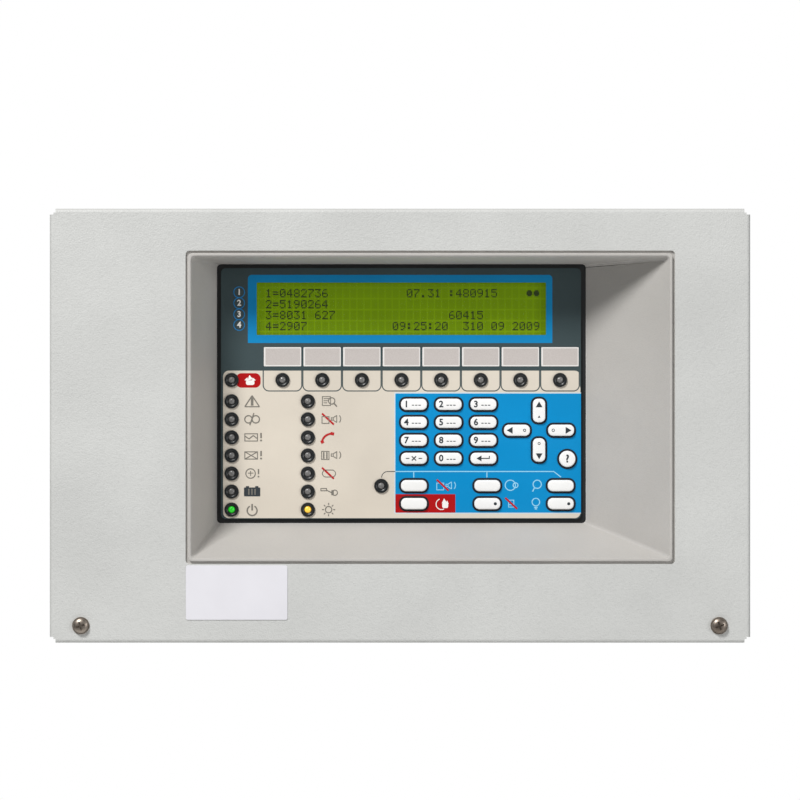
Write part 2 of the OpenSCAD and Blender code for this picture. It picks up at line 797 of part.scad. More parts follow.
// Closed tube of a few flat sides along a route
module sweep_tube(route, r, sides) {
    n = len(route);
    line = [for (i = [0:n - 2], f = [0, 0.5]) route_point(route, i, f), route[n - 1]];
    count = len(line);
    ring = [
        for (i = [0:count - 1])
            let (
                along = unit(
                    i == 0 ? route[1] - route[0]
                    : i == count - 1 ? route[n - 1] - route[n - 2]
                    : line[i + 1] - line[i - 1]
                ),
                side = unit(cross(along, [0.31, 0.17, 0.93])),
                up = cross(side, along)
            )
            for (k = [0:sides - 1]) line[i] + r * (cos(360 * k / sides) * side + sin(360 * k / sides) * up)
    ];
    walls = [
        for (i = [0:count - 2], k = [0:sides - 1])
            let (a = i * sides + k, b = i * sides + (k + 1) % sides)
            each [[a, b, a + sides], [b, b + sides, a + sides]]
    ];
    ends = [[for (k = [sides - 1:-1:0]) k], [for (k = [0:sides - 1]) (count - 1) * sides + k]];
    polyhedron(ring, concat(walls, ends));
}

module battery_lead_red() color("firebrick") sweep_tube(red_route, lead_r, lead_sides);

module battery_lead_black() color("black") sweep_tube(black_route, lead_r, lead_sides);

module battery_link() color("black") sweep_tube(link_route, lead_r, lead_sides);

// Points of an arc, in YZ
function arc(cy, cz, r, from, to) = [for (a = [from:(to - from) / 8:to]) [cy + r * cos(a), cz + r * sin(a)]];

// Flat cable with its spare length in two standing folds behind the display unit
module ribbon_cable() color("lightgray") {
    h = ribbon_t / 2;
    // Outer side of the loop, then back along its inner side
    outline = concat(
        ribbon_side(h),
        [for (k = [len(ribbon_side(-h)) - 1:-1:0]) ribbon_side(-h)[k]]
    );
    translate([ribbon_x - ribbon_w / 2, 0, 0]) rotate([90, 0, 90]) linear_extrude(ribbon_w) polygon(outline);
}

// One side of the ribbon's path, shifted by h to its left: two standing folds side by side
function ribbon_side(h) = concat(
    [[kb_y + pcb_t + socket_d, ribbon_z + h]],
    arc(ribbon_front_y - ribbon_bend, ribbon_z + ribbon_bend, ribbon_bend - h, -90, 0),
    arc(ribbon_front_y + ribbon_bend, ribbon_top_z, ribbon_bend + h, 180, 0),
    arc(ribbon_front_y + ribbon_pitch + ribbon_bend, ribbon_low_z, ribbon_bend - h, 180, 360),
    arc(ribbon_front_y + 2 * ribbon_pitch + ribbon_bend, ribbon_top_z, ribbon_bend + h, 180, 0),
    arc(ribbon_front_y + 3 * ribbon_pitch + ribbon_bend, ribbon_z + ribbon_bend, ribbon_bend - h, 180, 270),
    [[board_face_y - socket_d + socket_slot, ribbon_z + h]]
);

// ---- Front cover ----

module front_cover() color("gainsboro") {
    difference() {
        translate([0, face_y, 0]) folded_tray(panel_w, panel_h, flange_d, corner_notch);
        translate([cutout_x, face_y - bite, cutout_z]) panel(cutout_w, cutout_h, sheet_t + 2 * bite, 2);
        for (s = [-1, 1]) drill(s * screw_x, screw_z, face_y, screw_hole_r, sheet_t);
    }
    for (p = stud_places) rod(p[0], p[1], cover_back_y - bite, stud_r, stud_len + bite);
}

// Studs beside the cut-out, in two columns
stud_places = [
    for (s = [-1, 1], k = stud_rows) [cutout_x + s * (cutout_w / 2 + stud_inset), cutout_z + k * cutout_h]
];

module bezel_nuts() color("silver") {
    for (p = stud_places) difference() {
        translate([p[0], cover_back_y + bezel_flange_t, p[1]]) rotate([-90, 0, 0])
            cylinder(r = 3.1, h = 2.4, $fn = 6);
        drill(p[0], p[1], cover_back_y, stud_r + 0.02, stud_len);
    }
}

// Two hinges, on the cover side
module hinge_cover_leaves() color("silver") {
    z = panel_h / 2 - sheet_t - leaf_t;
    for (s = [-1, 1]) translate([s * hinge_x, 0, 0]) {
        slab(-hinge_len / 2, hinge_len / 2, z, z + leaf_t, flange_back_y - cover_leaf_d, cover_leaf_d - 0.1);
        knuckle(knuckle_len) translate([-knuckle_len / 2, flange_back_y - 1, z])
            cube([knuckle_len, knuckle_r + 1.3, leaf_t]);
    }
}

// Recess with four sloping walls: a rim through the cut-out, a flange behind the cover and one at the back
module recess_bezel() color("gainsboro") {
    rim_y = face_y - rim_proud;
    difference() {
        union() {
            hull() {
                translate([cutout_x, rim_y, cutout_z]) panel(rim_x0, rim_z0, 2, 2, $fn = 32);
                translate([fascia_x, chassis_y - 1, fascia_z])
                    panel(opening_w + 2 * mould_t, opening_h + 2 * mould_t, 1, 2, $fn = 32);
            }
            translate([cutout_x, cover_back_y, cutout_z])
                panel(cutout_w + 2 * bezel_border, cutout_h + 2 * bezel_border, bezel_flange_t, 3);
            slab(frame_left, frame_right, frame_bottom, frame_top, chassis_y - bezel_flange_t,
                bezel_flange_t);
            for (z = boss_z) {
                rod(boss_left_x, z, chassis_y - boss_len, boss_r, boss_len);
                rod(boss_right_x, z, chassis_y - boss_len, boss_r, boss_len);
            }
        }
        hull() {
            translate([cutout_x, rim_y - bite, cutout_z])
                panel(rim_x0 - 2 * rim_w, rim_z0 - 2 * rim_w, 2, 2, $fn = 32);
            translate([fascia_x, chassis_y - 0.5, fascia_z]) panel(opening_w, opening_h, 1, 2, $fn = 32);
        }
        for (p = stud_places) drill(p[0], p[1], cover_back_y, stud_r + 0.2, bezel_flange_t);
        for (x = [boss_left_x, boss_right_x], z = boss_z)
            drill(x, z, chassis_y - boss_len + 1, m3_r + m3_fit, boss_len);
    }
}

// Plain adhesive label under the recess
module name_label() color("whitesmoke") {
    translate([plate_x, face_y - plate_t, plate_z]) panel(plate_w, plate_h, plate_t, 1);
}

// Cross-head cover screws with collars
module cover_screws() color("dimgray") {
    for (s = [-1, 1]) {
        rod(s * screw_x, screw_z, face_y - collar_t, collar_r, collar_t);
        difference() {
            rod(s * screw_x, screw_z, face_y - collar_t - head_h, head_r, head_h + bite);
            cross_recess(s * screw_x, screw_z, face_y - collar_t - head_h, 2.1);
        }
        rod(s * screw_x, screw_z, face_y - bite, cover_screw_r, screw_reach + bite);
    }
}

// ---- Display unit ----

// Flat panel with every window, indicator hole and key hole
module fascia_panel() color("darkslategray") {
    difference() {
        translate([fascia_x, fascia_y, fascia_z]) panel(fascia_w, fascia_h, fascia_t, 2.5);
        translate([lcd_x, fascia_y - bite, lcd_z]) panel(lcd_w, lcd_h, fascia_t + 2 * bite, 0.5);
        for (i = [0:zones - 1]) translate([zone_x + i * zone_pitch, fascia_y - bite, label_z])
            panel(label_w, label_h, fascia_t + 2 * bite, 0.5);
        for (p = led_places) drill(p[0], p[1], fascia_y, sleeve_r + sleeve_fit, fascia_t);
        for (k = KEYS) key_outline(k, key_gap, fascia_y - bite, fascia_t + 2 * bite);
    }
}

// Outline of one key grown by grow, from y for len
module key_outline(k, grow, y, len) {
    if (k[3] == 0) rod(k[1], k[2], y, round_key_r + grow, len);
    else translate([k[1], y, k[2]]) panel(k[3] + 2 * grow, k[4] + 2 * grow, len, key_corner + grow);
}

// Rigid key: cap, retaining flange behind the fascia and stem
module key(k) color("white") {
    key_outline(k, 0, fascia_y - key_proud, key_flange_y - fascia_y + key_proud);
    key_outline(k, key_flange_margin, key_flange_y, key_flange_t);
    rod(k[1], k[2], key_flange_y, stem_r, kb_y - stem_gap - key_travel - key_flange_y);
}

module lcd_window() color("lightcyan", 0.4) {
    translate([lcd_x, fascia_back_y, lcd_z]) panel(lcd_w + 6, lcd_h + 6, 1, 1);
}

module lcd_glass() color("olivedrab") {
    translate([lcd_x, lcd_frame_y + lcd_lip, lcd_z]) panel(lcd_w + 8, lcd_h + 7, glass_t, 0.5);
}

// Pressed steel frame over the glass, with the module's circuit board behind it
module lcd_module() {
    color("black") difference() {
        translate([lcd_x, lcd_frame_y, lcd_z]) panel(lcd_w + 11, lcd_h + 9.5, lcd_frame_d, 1);
        translate([lcd_x, lcd_frame_y - bite, lcd_z]) panel(lcd_w + 2, lcd_h + 2, 2, 0.5);
        translate([lcd_x, lcd_frame_y + lcd_lip, lcd_z]) panel(lcd_w + 8.4, lcd_h + 7.4, glass_t, 0.5);
    }
    color("darkgreen") slab(lcd_x - lcd_board_w / 2, lcd_x + lcd_board_w / 2, lcd_z - lcd_board_down,
        lcd_z + lcd_board_up, lcd_board_y, pcb_t);
}

// Carrier with one label field for each zone, the fields standing in the fascia's windows
module zone_labels() color("linen") {
    for (i = [0:zones - 1]) translate([zone_x + i * zone_pitch, fascia_y + label_fit, label_z])
        panel(label_w - 2 * label_fit, label_h - 2 * label_fit, fascia_t - label_fit, 0.4);
    slab(zone_x - label_w / 2 - 1.5, fascia_x + fascia_w / 2 - window_margin - 0.2, label_z - label_h / 2 - 1,
        label_z + label_h / 2 + 0.5, fascia_back_y, label_back_t);
}

// Black rings with sleeves through the fascia
module led_bezels() color("black") {
    for (p = led_places) difference() {
        union() {
            rod(p[0], p[1], fascia_y - ring_h, ring_r, ring_h);
            rod(p[0], p[1], fascia_y - bite, sleeve_r, fascia_t + 0.5 + bite);
        }
        drill(p[0], p[1], fascia_y - ring_h, lens_r + lens_fit, ring_h + fascia_t + 0.5);
    }
}

module led_lenses() color("gray") {
    for (p = led_places) rod(p[0], p[1], fascia_y - ring_h - 0.1, lens_r, kb_y - fascia_y + ring_h + 0.1);
}

module keypad_mat() color("dimgray") {
    difference() {
        slab(mat_left, mat_right, mat_bottom, mat_top, mat_y, mat_t);
        for (k = KEYS) drill(k[1], k[2], mat_y, stem_r + stem_clear, mat_t);
    }
}

// Circuit board under the indicators and keys, with the ribbon socket on its back
module display_board() {
    color("darkgreen") slab(fascia_x - 90.5, fascia_x + 90.5, mat_bottom - 0.4, zone_led_z + 6, kb_y, pcb_t);
    color("dimgray") slab(ribbon_x - socket_w / 2, ribbon_x + socket_w / 2, ribbon_z - socket_h / 2,
        ribbon_z + socket_h / 2, kb_y + pcb_t, socket_d);
}

// Front frame and rear pan of the display unit
module display_chassis() color("black") {
    difference() {
        union() {
            slab(frame_left, frame_right, frame_bottom, frame_top, chassis_y, frame_t);
            translate([fascia_x, chassis_y, fascia_z]) panel(opening_w + 6, opening_h + 4, chassis_d, 3);
        }
        translate([fascia_x, chassis_y - bite, fascia_z])
            panel(fascia_w - 2 * window_margin, fascia_h - 2 * window_margin, chassis_d - frame_t, 2);
        translate([fascia_x, chassis_y + frame_t, fascia_z])
            panel(opening_w + 6 - 2 * mould_t, opening_h + 4 - 2 * mould_t, chassis_d - 2 * frame_t, 2);
        slab(ribbon_x - socket_w / 2 - 1, ribbon_x + socket_w / 2 + 1, ribbon_z - 4, ribbon_z + 4,
            chassis_back_y - 3, 4);
        for (x = [boss_left_x, boss_right_x], z = boss_z) drill(x, z, chassis_y, m3_r + 0.2, frame_t);
        for (i = [0:pan_slots - 1])
            slab(pan_slot_x + i * 14, pan_slot_x + i * 14 + 6, -30, 0, chassis_back_y - 3, 4);
    }
    for (x = board_post_x, z = [mat_bottom + 5, zone_led_z + 1])
        rod(x, z, kb_y + pcb_t, post_r, chassis_back_y - frame_t - kb_y - pcb_t + bite);
    for (x = lcd_post_x, z = [lcd_z - 18, lcd_z + 14])
        rod(x, z, lcd_board_y + pcb_t, post_r, chassis_back_y - frame_t - lcd_board_y - pcb_t + bite);
}

// Screws from behind, through the chassis frame into the bezel's bosses
module chassis_screws() color("silver") {
    for (x = [boss_left_x, boss_right_x], z = boss_z)
        translate([x, chassis_y + frame_t, z]) rotate([0, 0, 180])
            m3_screw(0, 0, 0, frame_t + boss_len - 1.5);
}

back_box();
box_side_left();
box_side_right();
hinge_box_leaves();
hinge_pins();
cable_grommets();
main_board();
board_standoffs();
board_screws();
board_parts();
terminal_blocks();
power_supply();
psu_cover();
mains_terminal();
battery_left();
battery_right();
battery_strap();
earth_stud();
battery_lead_red();
battery_lead_black();
battery_link();
ribbon_cable();
front_cover();
hinge_cover_leaves();
recess_bezel();
bezel_nuts();
name_label();
cover_screws();
fascia_panel();
lcd_window();
lcd_glass();
lcd_module();
zone_labels();
led_bezels();
led_lenses();
keypad_mat();
display_board();
display_chassis();
chassis_screws();
for (k = KEYS) key(k);
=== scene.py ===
"""Looks of a wall-mounted fire alarm control panel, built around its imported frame.

Lengths are in millimetres with the origin at the centre of the wall face: X to the right
seen from the front, Y into the wall and Z up.
"""

from __future__ import annotations

import json
import logging
import math
from collections.abc import Callable, Iterable, Sequence
from dataclasses import dataclass
from enum import Enum
from typing import ClassVar

import bmesh
import bpy
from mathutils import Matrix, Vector

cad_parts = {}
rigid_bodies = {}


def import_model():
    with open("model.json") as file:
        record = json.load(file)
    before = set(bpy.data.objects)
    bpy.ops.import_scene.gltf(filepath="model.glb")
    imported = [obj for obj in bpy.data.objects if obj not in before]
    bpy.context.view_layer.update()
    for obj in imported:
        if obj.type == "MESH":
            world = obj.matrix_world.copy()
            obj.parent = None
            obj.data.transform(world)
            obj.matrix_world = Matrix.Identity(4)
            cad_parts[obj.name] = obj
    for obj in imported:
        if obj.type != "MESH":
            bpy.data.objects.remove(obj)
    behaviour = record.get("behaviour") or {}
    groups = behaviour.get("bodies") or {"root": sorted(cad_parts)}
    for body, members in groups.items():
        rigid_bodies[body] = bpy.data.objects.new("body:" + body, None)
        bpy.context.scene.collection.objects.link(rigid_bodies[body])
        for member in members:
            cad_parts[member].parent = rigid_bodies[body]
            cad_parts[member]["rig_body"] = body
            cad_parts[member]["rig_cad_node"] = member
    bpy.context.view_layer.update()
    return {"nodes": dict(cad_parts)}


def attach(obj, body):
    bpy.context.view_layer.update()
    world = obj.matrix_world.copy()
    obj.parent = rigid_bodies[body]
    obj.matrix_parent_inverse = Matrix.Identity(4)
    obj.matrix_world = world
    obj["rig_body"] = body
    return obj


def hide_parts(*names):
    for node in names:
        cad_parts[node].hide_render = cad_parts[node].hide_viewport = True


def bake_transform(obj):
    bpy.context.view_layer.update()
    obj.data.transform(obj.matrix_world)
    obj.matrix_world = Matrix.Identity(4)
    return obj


LOG = logging.getLogger("control_panel")
MM = 0.001
FACING_FRONT = (math.pi / 2, 0.0, 0.0)
WHITE = (1.0, 1.0, 1.0)
# Middle of the first zone and the step to the next one
ZONE_X = -60.7
ZONE_PITCH = 20.48

Colour = tuple[float, float, float]
Point = tuple[float, float, float]
Flat = tuple[float, float]
Node = bpy.types.Node
Socket = bpy.types.NodeSocket
Material = bpy.types.Material
Thing = bpy.types.Object


def paint(steps: Colour) -> Colour:
    """Turn a colour of 0 to 255 steps into linear light."""
    shares = [s / 255 for s in steps]
    return tuple(s / 12.92 if s <= 0.04045 else ((s + 0.055) / 1.055) ** 2.4 for s in shares)


def lifted(colour: Colour, gain: float, extra: float = 0.0) -> Colour:
    """Scale a colour and raise it, up to white."""
    return tuple(min(1.0, c * gain + extra) for c in colour)


def metres(place: Iterable[float]) -> tuple[float, ...]:
    """Turn millimetres into metres."""
    return tuple(p * MM for p in place)


class Lamp(Enum):
    """State of an indicator."""

    OFF = "off"
    GREEN = "green"
    YELLOW = "yellow"


class Body(Enum):
    """Rigid bodies that the looks ride on."""

    BOX = "box"
    COVER = "cover"


class Graph:
    """A node tree while it is being wired."""

    def __init__(self, tree: bpy.types.NodeTree) -> None:
        """Keep the tree to wire."""
        self.tree = tree

    def feed(self, node: Node, name: str | int, value: object) -> None:
        """Link a socket to an input, or set the input to a constant.

        Args:
            node: Node to feed.
            name: Input's name or number.
            value: Socket or constant, where a colour may leave its opacity out.
        """
        if isinstance(value, Socket):
            self.tree.links.new(value, node.inputs[name])
        elif node.inputs[name].type == "RGBA":
            node.inputs[name].default_value = (*value, 1.0)[:4]
        else:
            node.inputs[name].default_value = value

    def add(self, kind: str, feeds: dict[str | int, object] | None = None, **settings: object) -> Node:
        """Add a node.

        Args:
            kind: Node type, without the ShaderNode at its front.
            feeds: Socket or constant of each input.
            **settings: Properties of the node.

        Returns:
            The new node.
        """
        node = self.tree.nodes.new(f"ShaderNode{kind}")
        for name, value in settings.items():
            setattr(node, name, value)
        for name, value in (feeds or {}).items():
            self.feed(node, name, value)
        return node

    def math(self, operation: str, a: object, b: object = 0.0, clamp: bool = False) -> Socket:
        """Return one step of arithmetic, kept from 0 to 1 where clamp says so."""
        return self.add("Math", {0: a, 1: b}, operation=operation, use_clamp=clamp).outputs[0]

    def plus(self, a: object, b: object) -> Socket:
        """Return a sum."""
        return self.math("ADD", a, b)

    def minus(self, a: object, b: object, clamp: bool = False) -> Socket:
        """Return a difference."""
        return self.math("SUBTRACT", a, b, clamp)

    def times(self, a: object, b: object, clamp: bool = False) -> Socket:
        """Return a product."""
        return self.math("MULTIPLY", a, b, clamp)

    def scaled(self, vector: object, factor: float) -> Socket:
        """Return a vector scaled by a plain factor."""
        return self.add("VectorMath", {0: vector, 3: factor}, operation="SCALE").outputs[0]

    def blend(self, share: object, a: object, b: object, mode: str = "MIX") -> Socket:
        """Return two colours blended by the share of the second one."""
        return self.add("Mix", {0: share, 6: a, 7: b}, data_type="RGBA", blend_type=mode).outputs[2]

    def noise(self, vector: object, scale: object, detail: float = 3.0) -> Socket:
        """Return the value of a noise pattern."""
        return self.add("TexNoise", {"Vector": vector, "Scale": scale, "Detail": detail}).outputs["Fac"]

    def spread(self, value: object, low: float, high: float, to_low: float = 0.0, to_high: float = 1.0) -> Socket:
        """Return a value mapped from one range onto another and kept inside it."""
        return self.add("MapRange", dict(enumerate((value, low, high, to_low, to_high))), clamp=True).outputs[0]

    def place(self) -> Socket:
        """Return the place on the object in millimetres."""
        return self.scaled(self.add("TexCoord").outputs["Object"], 1 / MM)

    def axes(self) -> Iterable[Socket]:
        """Return the place on the object along X, Y and Z."""
        return self.add("SeparateXYZ", {0: self.place()}).outputs

    def in_turn(self, value: object, start: float, pitch: float) -> Socket:
        """Return the place in a row that repeats, from the middle of the turn that it is in."""
        return self.minus(self.math("FLOORED_MODULO", self.minus(value, start), pitch), pitch / 2)


class Surface(Graph):
    """Nodes of a material around its Principled shader."""

    def __init__(self, title: str, roughness: float) -> None:
        """Open a material.

        Args:
            title: Its name.
            roughness: Its plain roughness.
        """
        self.material = bpy.data.materials.new(title)
        self.material.use_nodes = True
        super().__init__(self.material.node_tree)
        self.shade(Roughness=roughness)

    def shade(self, **values: object) -> None:
        """Feed the shader's inputs, with spaces written as underscores."""
        for label, value in values.items():
            self.feed(self.tree.nodes["Principled BSDF"], label.replace("_", " "), value)

    def relief(self, height: object, depth: float) -> None:
        """Give the surface relief, from a height of 0 to 1 and its depth in millimetres."""
        bump = self.add("Bump", {"Strength": 1.0, "Distance": depth * MM, "Height": height})
        self.shade(Normal=bump.outputs[0])


class Effect:
    """Shader node groups that several finishes share, each built once."""

    _built: dict[str, bpy.types.NodeTree] = {}

    @classmethod
    def _open(cls, name: str, inputs: dict[str, float], *outputs: str) -> tuple[Graph, object, Node]:
        """Start a group with named number sockets.

        Args:
            name: Group name.
            inputs: Default of each input.
            *outputs: Name of each output.

        Returns:
            The graph, its inputs and its output node.
        """
        tree = bpy.data.node_groups.new(name, "ShaderNodeTree")
        for label, default in inputs.items():
            socket = tree.interface.new_socket(label, in_out="INPUT", socket_type="NodeSocketFloat")
            socket.default_value = default
        for label in outputs:
            tree.interface.new_socket(label, in_out="OUTPUT", socket_type="NodeSocketFloat")
        cls._built[name] = tree
        return Graph(tree), tree.nodes.new("NodeGroupInput").outputs, tree.nodes.new("NodeGroupOutput")

    @classmethod
    def use(cls, graph: Graph, name: str, **values: object) -> object:
        """Place a shared effect in a material.

        Args:
            graph: Material's graph.
            name: Effect name, which is also the name of the method that builds it.
            **values: Inputs, with spaces written as underscores.

        Returns:
            The group's outputs.
        """
        if name not in cls._built:
            getattr(cls, name)()
        feeds = {label.replace("_", " "): value for label, value in values.items()}
        return graph.add("Group", feeds, node_tree=cls._built[name]).outputs

    @classmethod
    def coat_grain(cls) -> None:
        """Build the fine pebbled surface of powder coat or a spark-eroded mould."""
        graph, given, end = cls._open("coat_grain", {"Pitch": 1.0}, "Height", "Tone")
        place = graph.place()
        fineness = graph.math("DIVIDE", 1.0, given["Pitch"])
        fine = graph.times(graph.noise(place, fineness, 2.0), 0.65)
        coarse = graph.times(graph.noise(place, graph.times(fineness, 0.37), 1.0), 0.35)
        graph.feed(end, "Height", graph.spread(graph.plus(fine, coarse), 0.36, 0.64))
        graph.feed(end, "Tone", graph.noise(place, 0.021, 4.0))

    @classmethod
    def edge_wear(cls) -> None:
        """Build the mask of edges where a finish is rubbed and where a painted highlight is laid."""
        graph, given, end = cls._open("edge_wear", {"Reach": 0.5, "Break Up": 0.6}, "Mask")
        soft = graph.add("Bevel", {"Radius": graph.times(given["Reach"], MM)}, samples=4).outputs[0]
        flat = graph.add("NewGeometry").outputs["Normal"]
        meet = graph.add("VectorMath", {0: soft, 1: flat}, operation="DOT_PRODUCT").outputs["Value"]
        broken = graph.spread(graph.noise(graph.place(), 0.35, 4.0), 0.3, 0.62)
        share = graph.plus(graph.minus(1.0, given["Break Up"]), graph.times(broken, given["Break Up"]))
        graph.feed(end, "Mask", graph.times(graph.spread(meet, 0.995, 0.86), share, clamp=True))

    @classmethod
    def settled_dust(cls) -> None:
        """Build the thin dust that lies on faces turned upwards."""
        graph, given, end = cls._open("settled_dust", {"Amount": 0.2}, "Mask")
        normal = graph.add("SeparateXYZ", {0: graph.add("NewGeometry").outputs["Normal"]})
        upward = graph.spread(normal.outputs["Z"], 0.4, 1.0)
        specks = graph.spread(graph.noise(graph.place(), 0.6, 6.0), 0.35, 0.7, 0.35, 1.0)
        graph.feed(end, "Mask", graph.times(graph.times(upward, specks), given["Amount"], clamp=True))

    @classmethod
    def handling(cls) -> None:
        """Build the faint uneven shine that hands and wiping leave."""
        graph, _, end = cls._open("handling", {}, "Shine")
        stretched = graph.add("Mapping", {"Vector": graph.place(), "Scale": (0.4, 1.0, 1.6)}).outputs[0]
        graph.feed(end, "Shine", graph.spread(graph.noise(stretched, 0.045, 5.0), 0.3, 0.7))

    @classmethod
    def printed_field(cls) -> None:
        """Build the mask of a printed rectangle with round corners, with its edge distance."""
        sizes = dict.fromkeys(("X", "Z", "Middle X", "Middle Z"), 0.0)
        sizes |= {"Half Width": 1.0, "Half Height": 1.0, "Corner": 0.5, "Edge": 0.12}
        graph, given, end = cls._open("printed_field", sizes, "Mask", "Distance")
        reach = []
        for axis, half in (("X", "Half Width"), ("Z", "Half Height")):
            away = graph.math("ABSOLUTE", graph.minus(given[axis], given[f"Middle {axis}"]))
            reach.append(graph.minus(away, graph.minus(given[half], given["Corner"])))
        outside = [graph.math("MAXIMUM", r, 0.0) for r in reach]
        corner = graph.math("SQRT", graph.plus(*(graph.times(o, o) for o in outside)))
        inside = graph.math("MINIMUM", graph.math("MAXIMUM", *reach), 0.0)
        distance = graph.minus(graph.plus(corner, inside), given["Corner"])
        graph.feed(end, "Mask", graph.minus(0.5, graph.math("DIVIDE", distance, given["Edge"]), clamp=True))
        graph.feed(end, "Distance", distance)


@dataclass(frozen=True)
class Finish:
    """Base of every finish, whose colours are in 0 to 255 steps."""

    name: str
    roughness: float = 0.5

    def open(self) -> Surface:
        """Start the material, named apart from every slot of the record."""
        return Surface(f"{self.name}_finish", self.roughness)

    def build(self) -> Material:
        """Build the material."""
        raise NotImplementedError


@dataclass(frozen=True)
class CoatedSheet(Finish):
    """Powder coat on folded steel, or a textured moulding: pebbled, with painted shade in the pits of its grain,
    rubbed and given a painted highlight at its edges, a little dusty.
    """

    colour: Colour = (200, 200, 200)
    # Lighter colour of the edges, for rubbed coat and a painted highlight
    worn: Colour = (228, 228, 226)
    pitch: float = 0.8
    depth: float = 0.03
    tone: float = 0.05
    dust: float = 0.15
    wear: float = 0.5

    def build(self) -> Material:
        """Build the material.

        Returns:
            The material.
        """
        surface = self.open()
        colour = paint(self.colour)
        grain = Effect.use(surface, "coat_grain", Pitch=self.pitch)
        wear = Effect.use(surface, "edge_wear", Reach=0.45, Break_Up=0.45)["Mask"]
        dust = Effect.use(surface, "settled_dust", Amount=self.dust)["Mask"]
        shine = Effect.use(surface, "handling")["Shine"]
        patches = surface.spread(grain["Tone"], 0.3, 0.7)
        base = surface.blend(patches, lifted(colour, 1 - self.tone), lifted(colour, 1 + self.tone))
        # Painted shade: the colour darkens in the low spots of the grain
        pit_shade = surface.spread(grain["Height"], 0.0, 0.5, self.tone * 2.2, 0.0)
        base = surface.blend(pit_shade, base, lifted(colour, 0.55))
        # Edges lightened: rubbed coat and a painted highlight
        base = surface.blend(surface.times(wear, self.wear), base, paint(self.worn))
        rough = surface.spread(shine, 0.0, 1.0, self.roughness - 0.05, self.roughness + 0.07)
        surface.shade(Base_Color=surface.blend(dust, base, paint((196, 190, 180))), Roughness=rough)
        surface.relief(grain["Height"], self.depth)
        return surface.material


@dataclass(frozen=True)
class Moulding(Finish):
    """Plain moulded plastic or rubber with a fine satin surface, its edges lightened by wear and a painted highlight.
    """

    colour: Colour = (64, 64, 64)
    pitch: float = 0.4
    depth: float = 0.006
    dust: float = 0.08
    # Share of the edges lightened, for wear and a painted highlight
    edge: float = 0.25

    def build(self) -> Material:
        """Build the material.

        Returns:
            The material.
        """
        surface = self.open()
        colour = paint(self.colour)
        grain = Effect.use(surface, "coat_grain", Pitch=self.pitch)
        dust = Effect.use(surface, "settled_dust", Amount=self.dust)["Mask"]
        wear = Effect.use(surface, "edge_wear", Reach=0.25, Break_Up=0.3)["Mask"]
        base = surface.blend(surface.spread(grain["Tone"], 0.3, 0.7), colour, lifted(colour, 1.1, 0.008))
        # Edges lightened: wear and a painted highlight
        base = surface.blend(surface.times(wear, self.edge), base, lifted(colour, 1.6, 0.03))
        rough = surface.spread(grain["Height"], 0.0, 1.0, self.roughness - 0.06, self.roughness + 0.06)
        surface.shade(Base_Color=surface.blend(dust, base, paint((180, 175, 166))), Roughness=rough)
        surface.relief(grain["Height"], self.depth)
        return surface.material


@dataclass(frozen=True)
class PlatedMetal(Finish):
    """Plated or plain metal with rolling marks and dull patches."""

    colour: Colour = (205, 205, 200)
    stain: Colour = (168, 164, 152)
    streak: Point = (0.2, 2.0, 6.0)

    def build(self) -> Material:
        """Build the material.

        Returns:
            The material.
        """
        surface = self.open()
        place = surface.place()
        drawn = surface.add("Mapping", {"Vector": place, "Scale": self.streak}).outputs[0]
        lines = surface.noise(drawn, 1.0, 4.0)
        patches = surface.noise(place, 0.12, 5.0)
        stained = surface.spread(patches, 0.42, 0.72, 0.0, 0.6)
        shine = surface.plus(surface.times(lines, 0.16), surface.times(patches, 0.12))
        surface.shade(
            Metallic=1.0, Base_Color=surface.blend(stained, paint(self.colour), paint(self.stain)),
            Roughness=surface.plus(shine, self.roughness - 0.14),
        )
        surface.relief(lines, 0.004)
        return surface.material


@dataclass(frozen=True)
class PrintInk(Finish):
    """Screen-printed ink, slightly uneven in its layer."""

    colour: Colour = (26, 26, 26)

    def build(self) -> Material:
        """Build the material.

        Returns:
            The material.
        """
        surface = self.open()
        colour = paint(self.colour)
        layer = surface.noise(surface.place(), 3.5, 3.0)
        uneven = surface.spread(layer, 0.35, 0.7, 0.0, 0.8)
        surface.shade(
            Base_Color=surface.blend(uneven, colour, lifted(colour, 1.12, 0.006)),
            Roughness=surface.spread(layer, 0.2, 0.8, self.roughness - 0.05, self.roughness + 0.05),
        )
        surface.relief(layer, 0.003)
        return surface.material


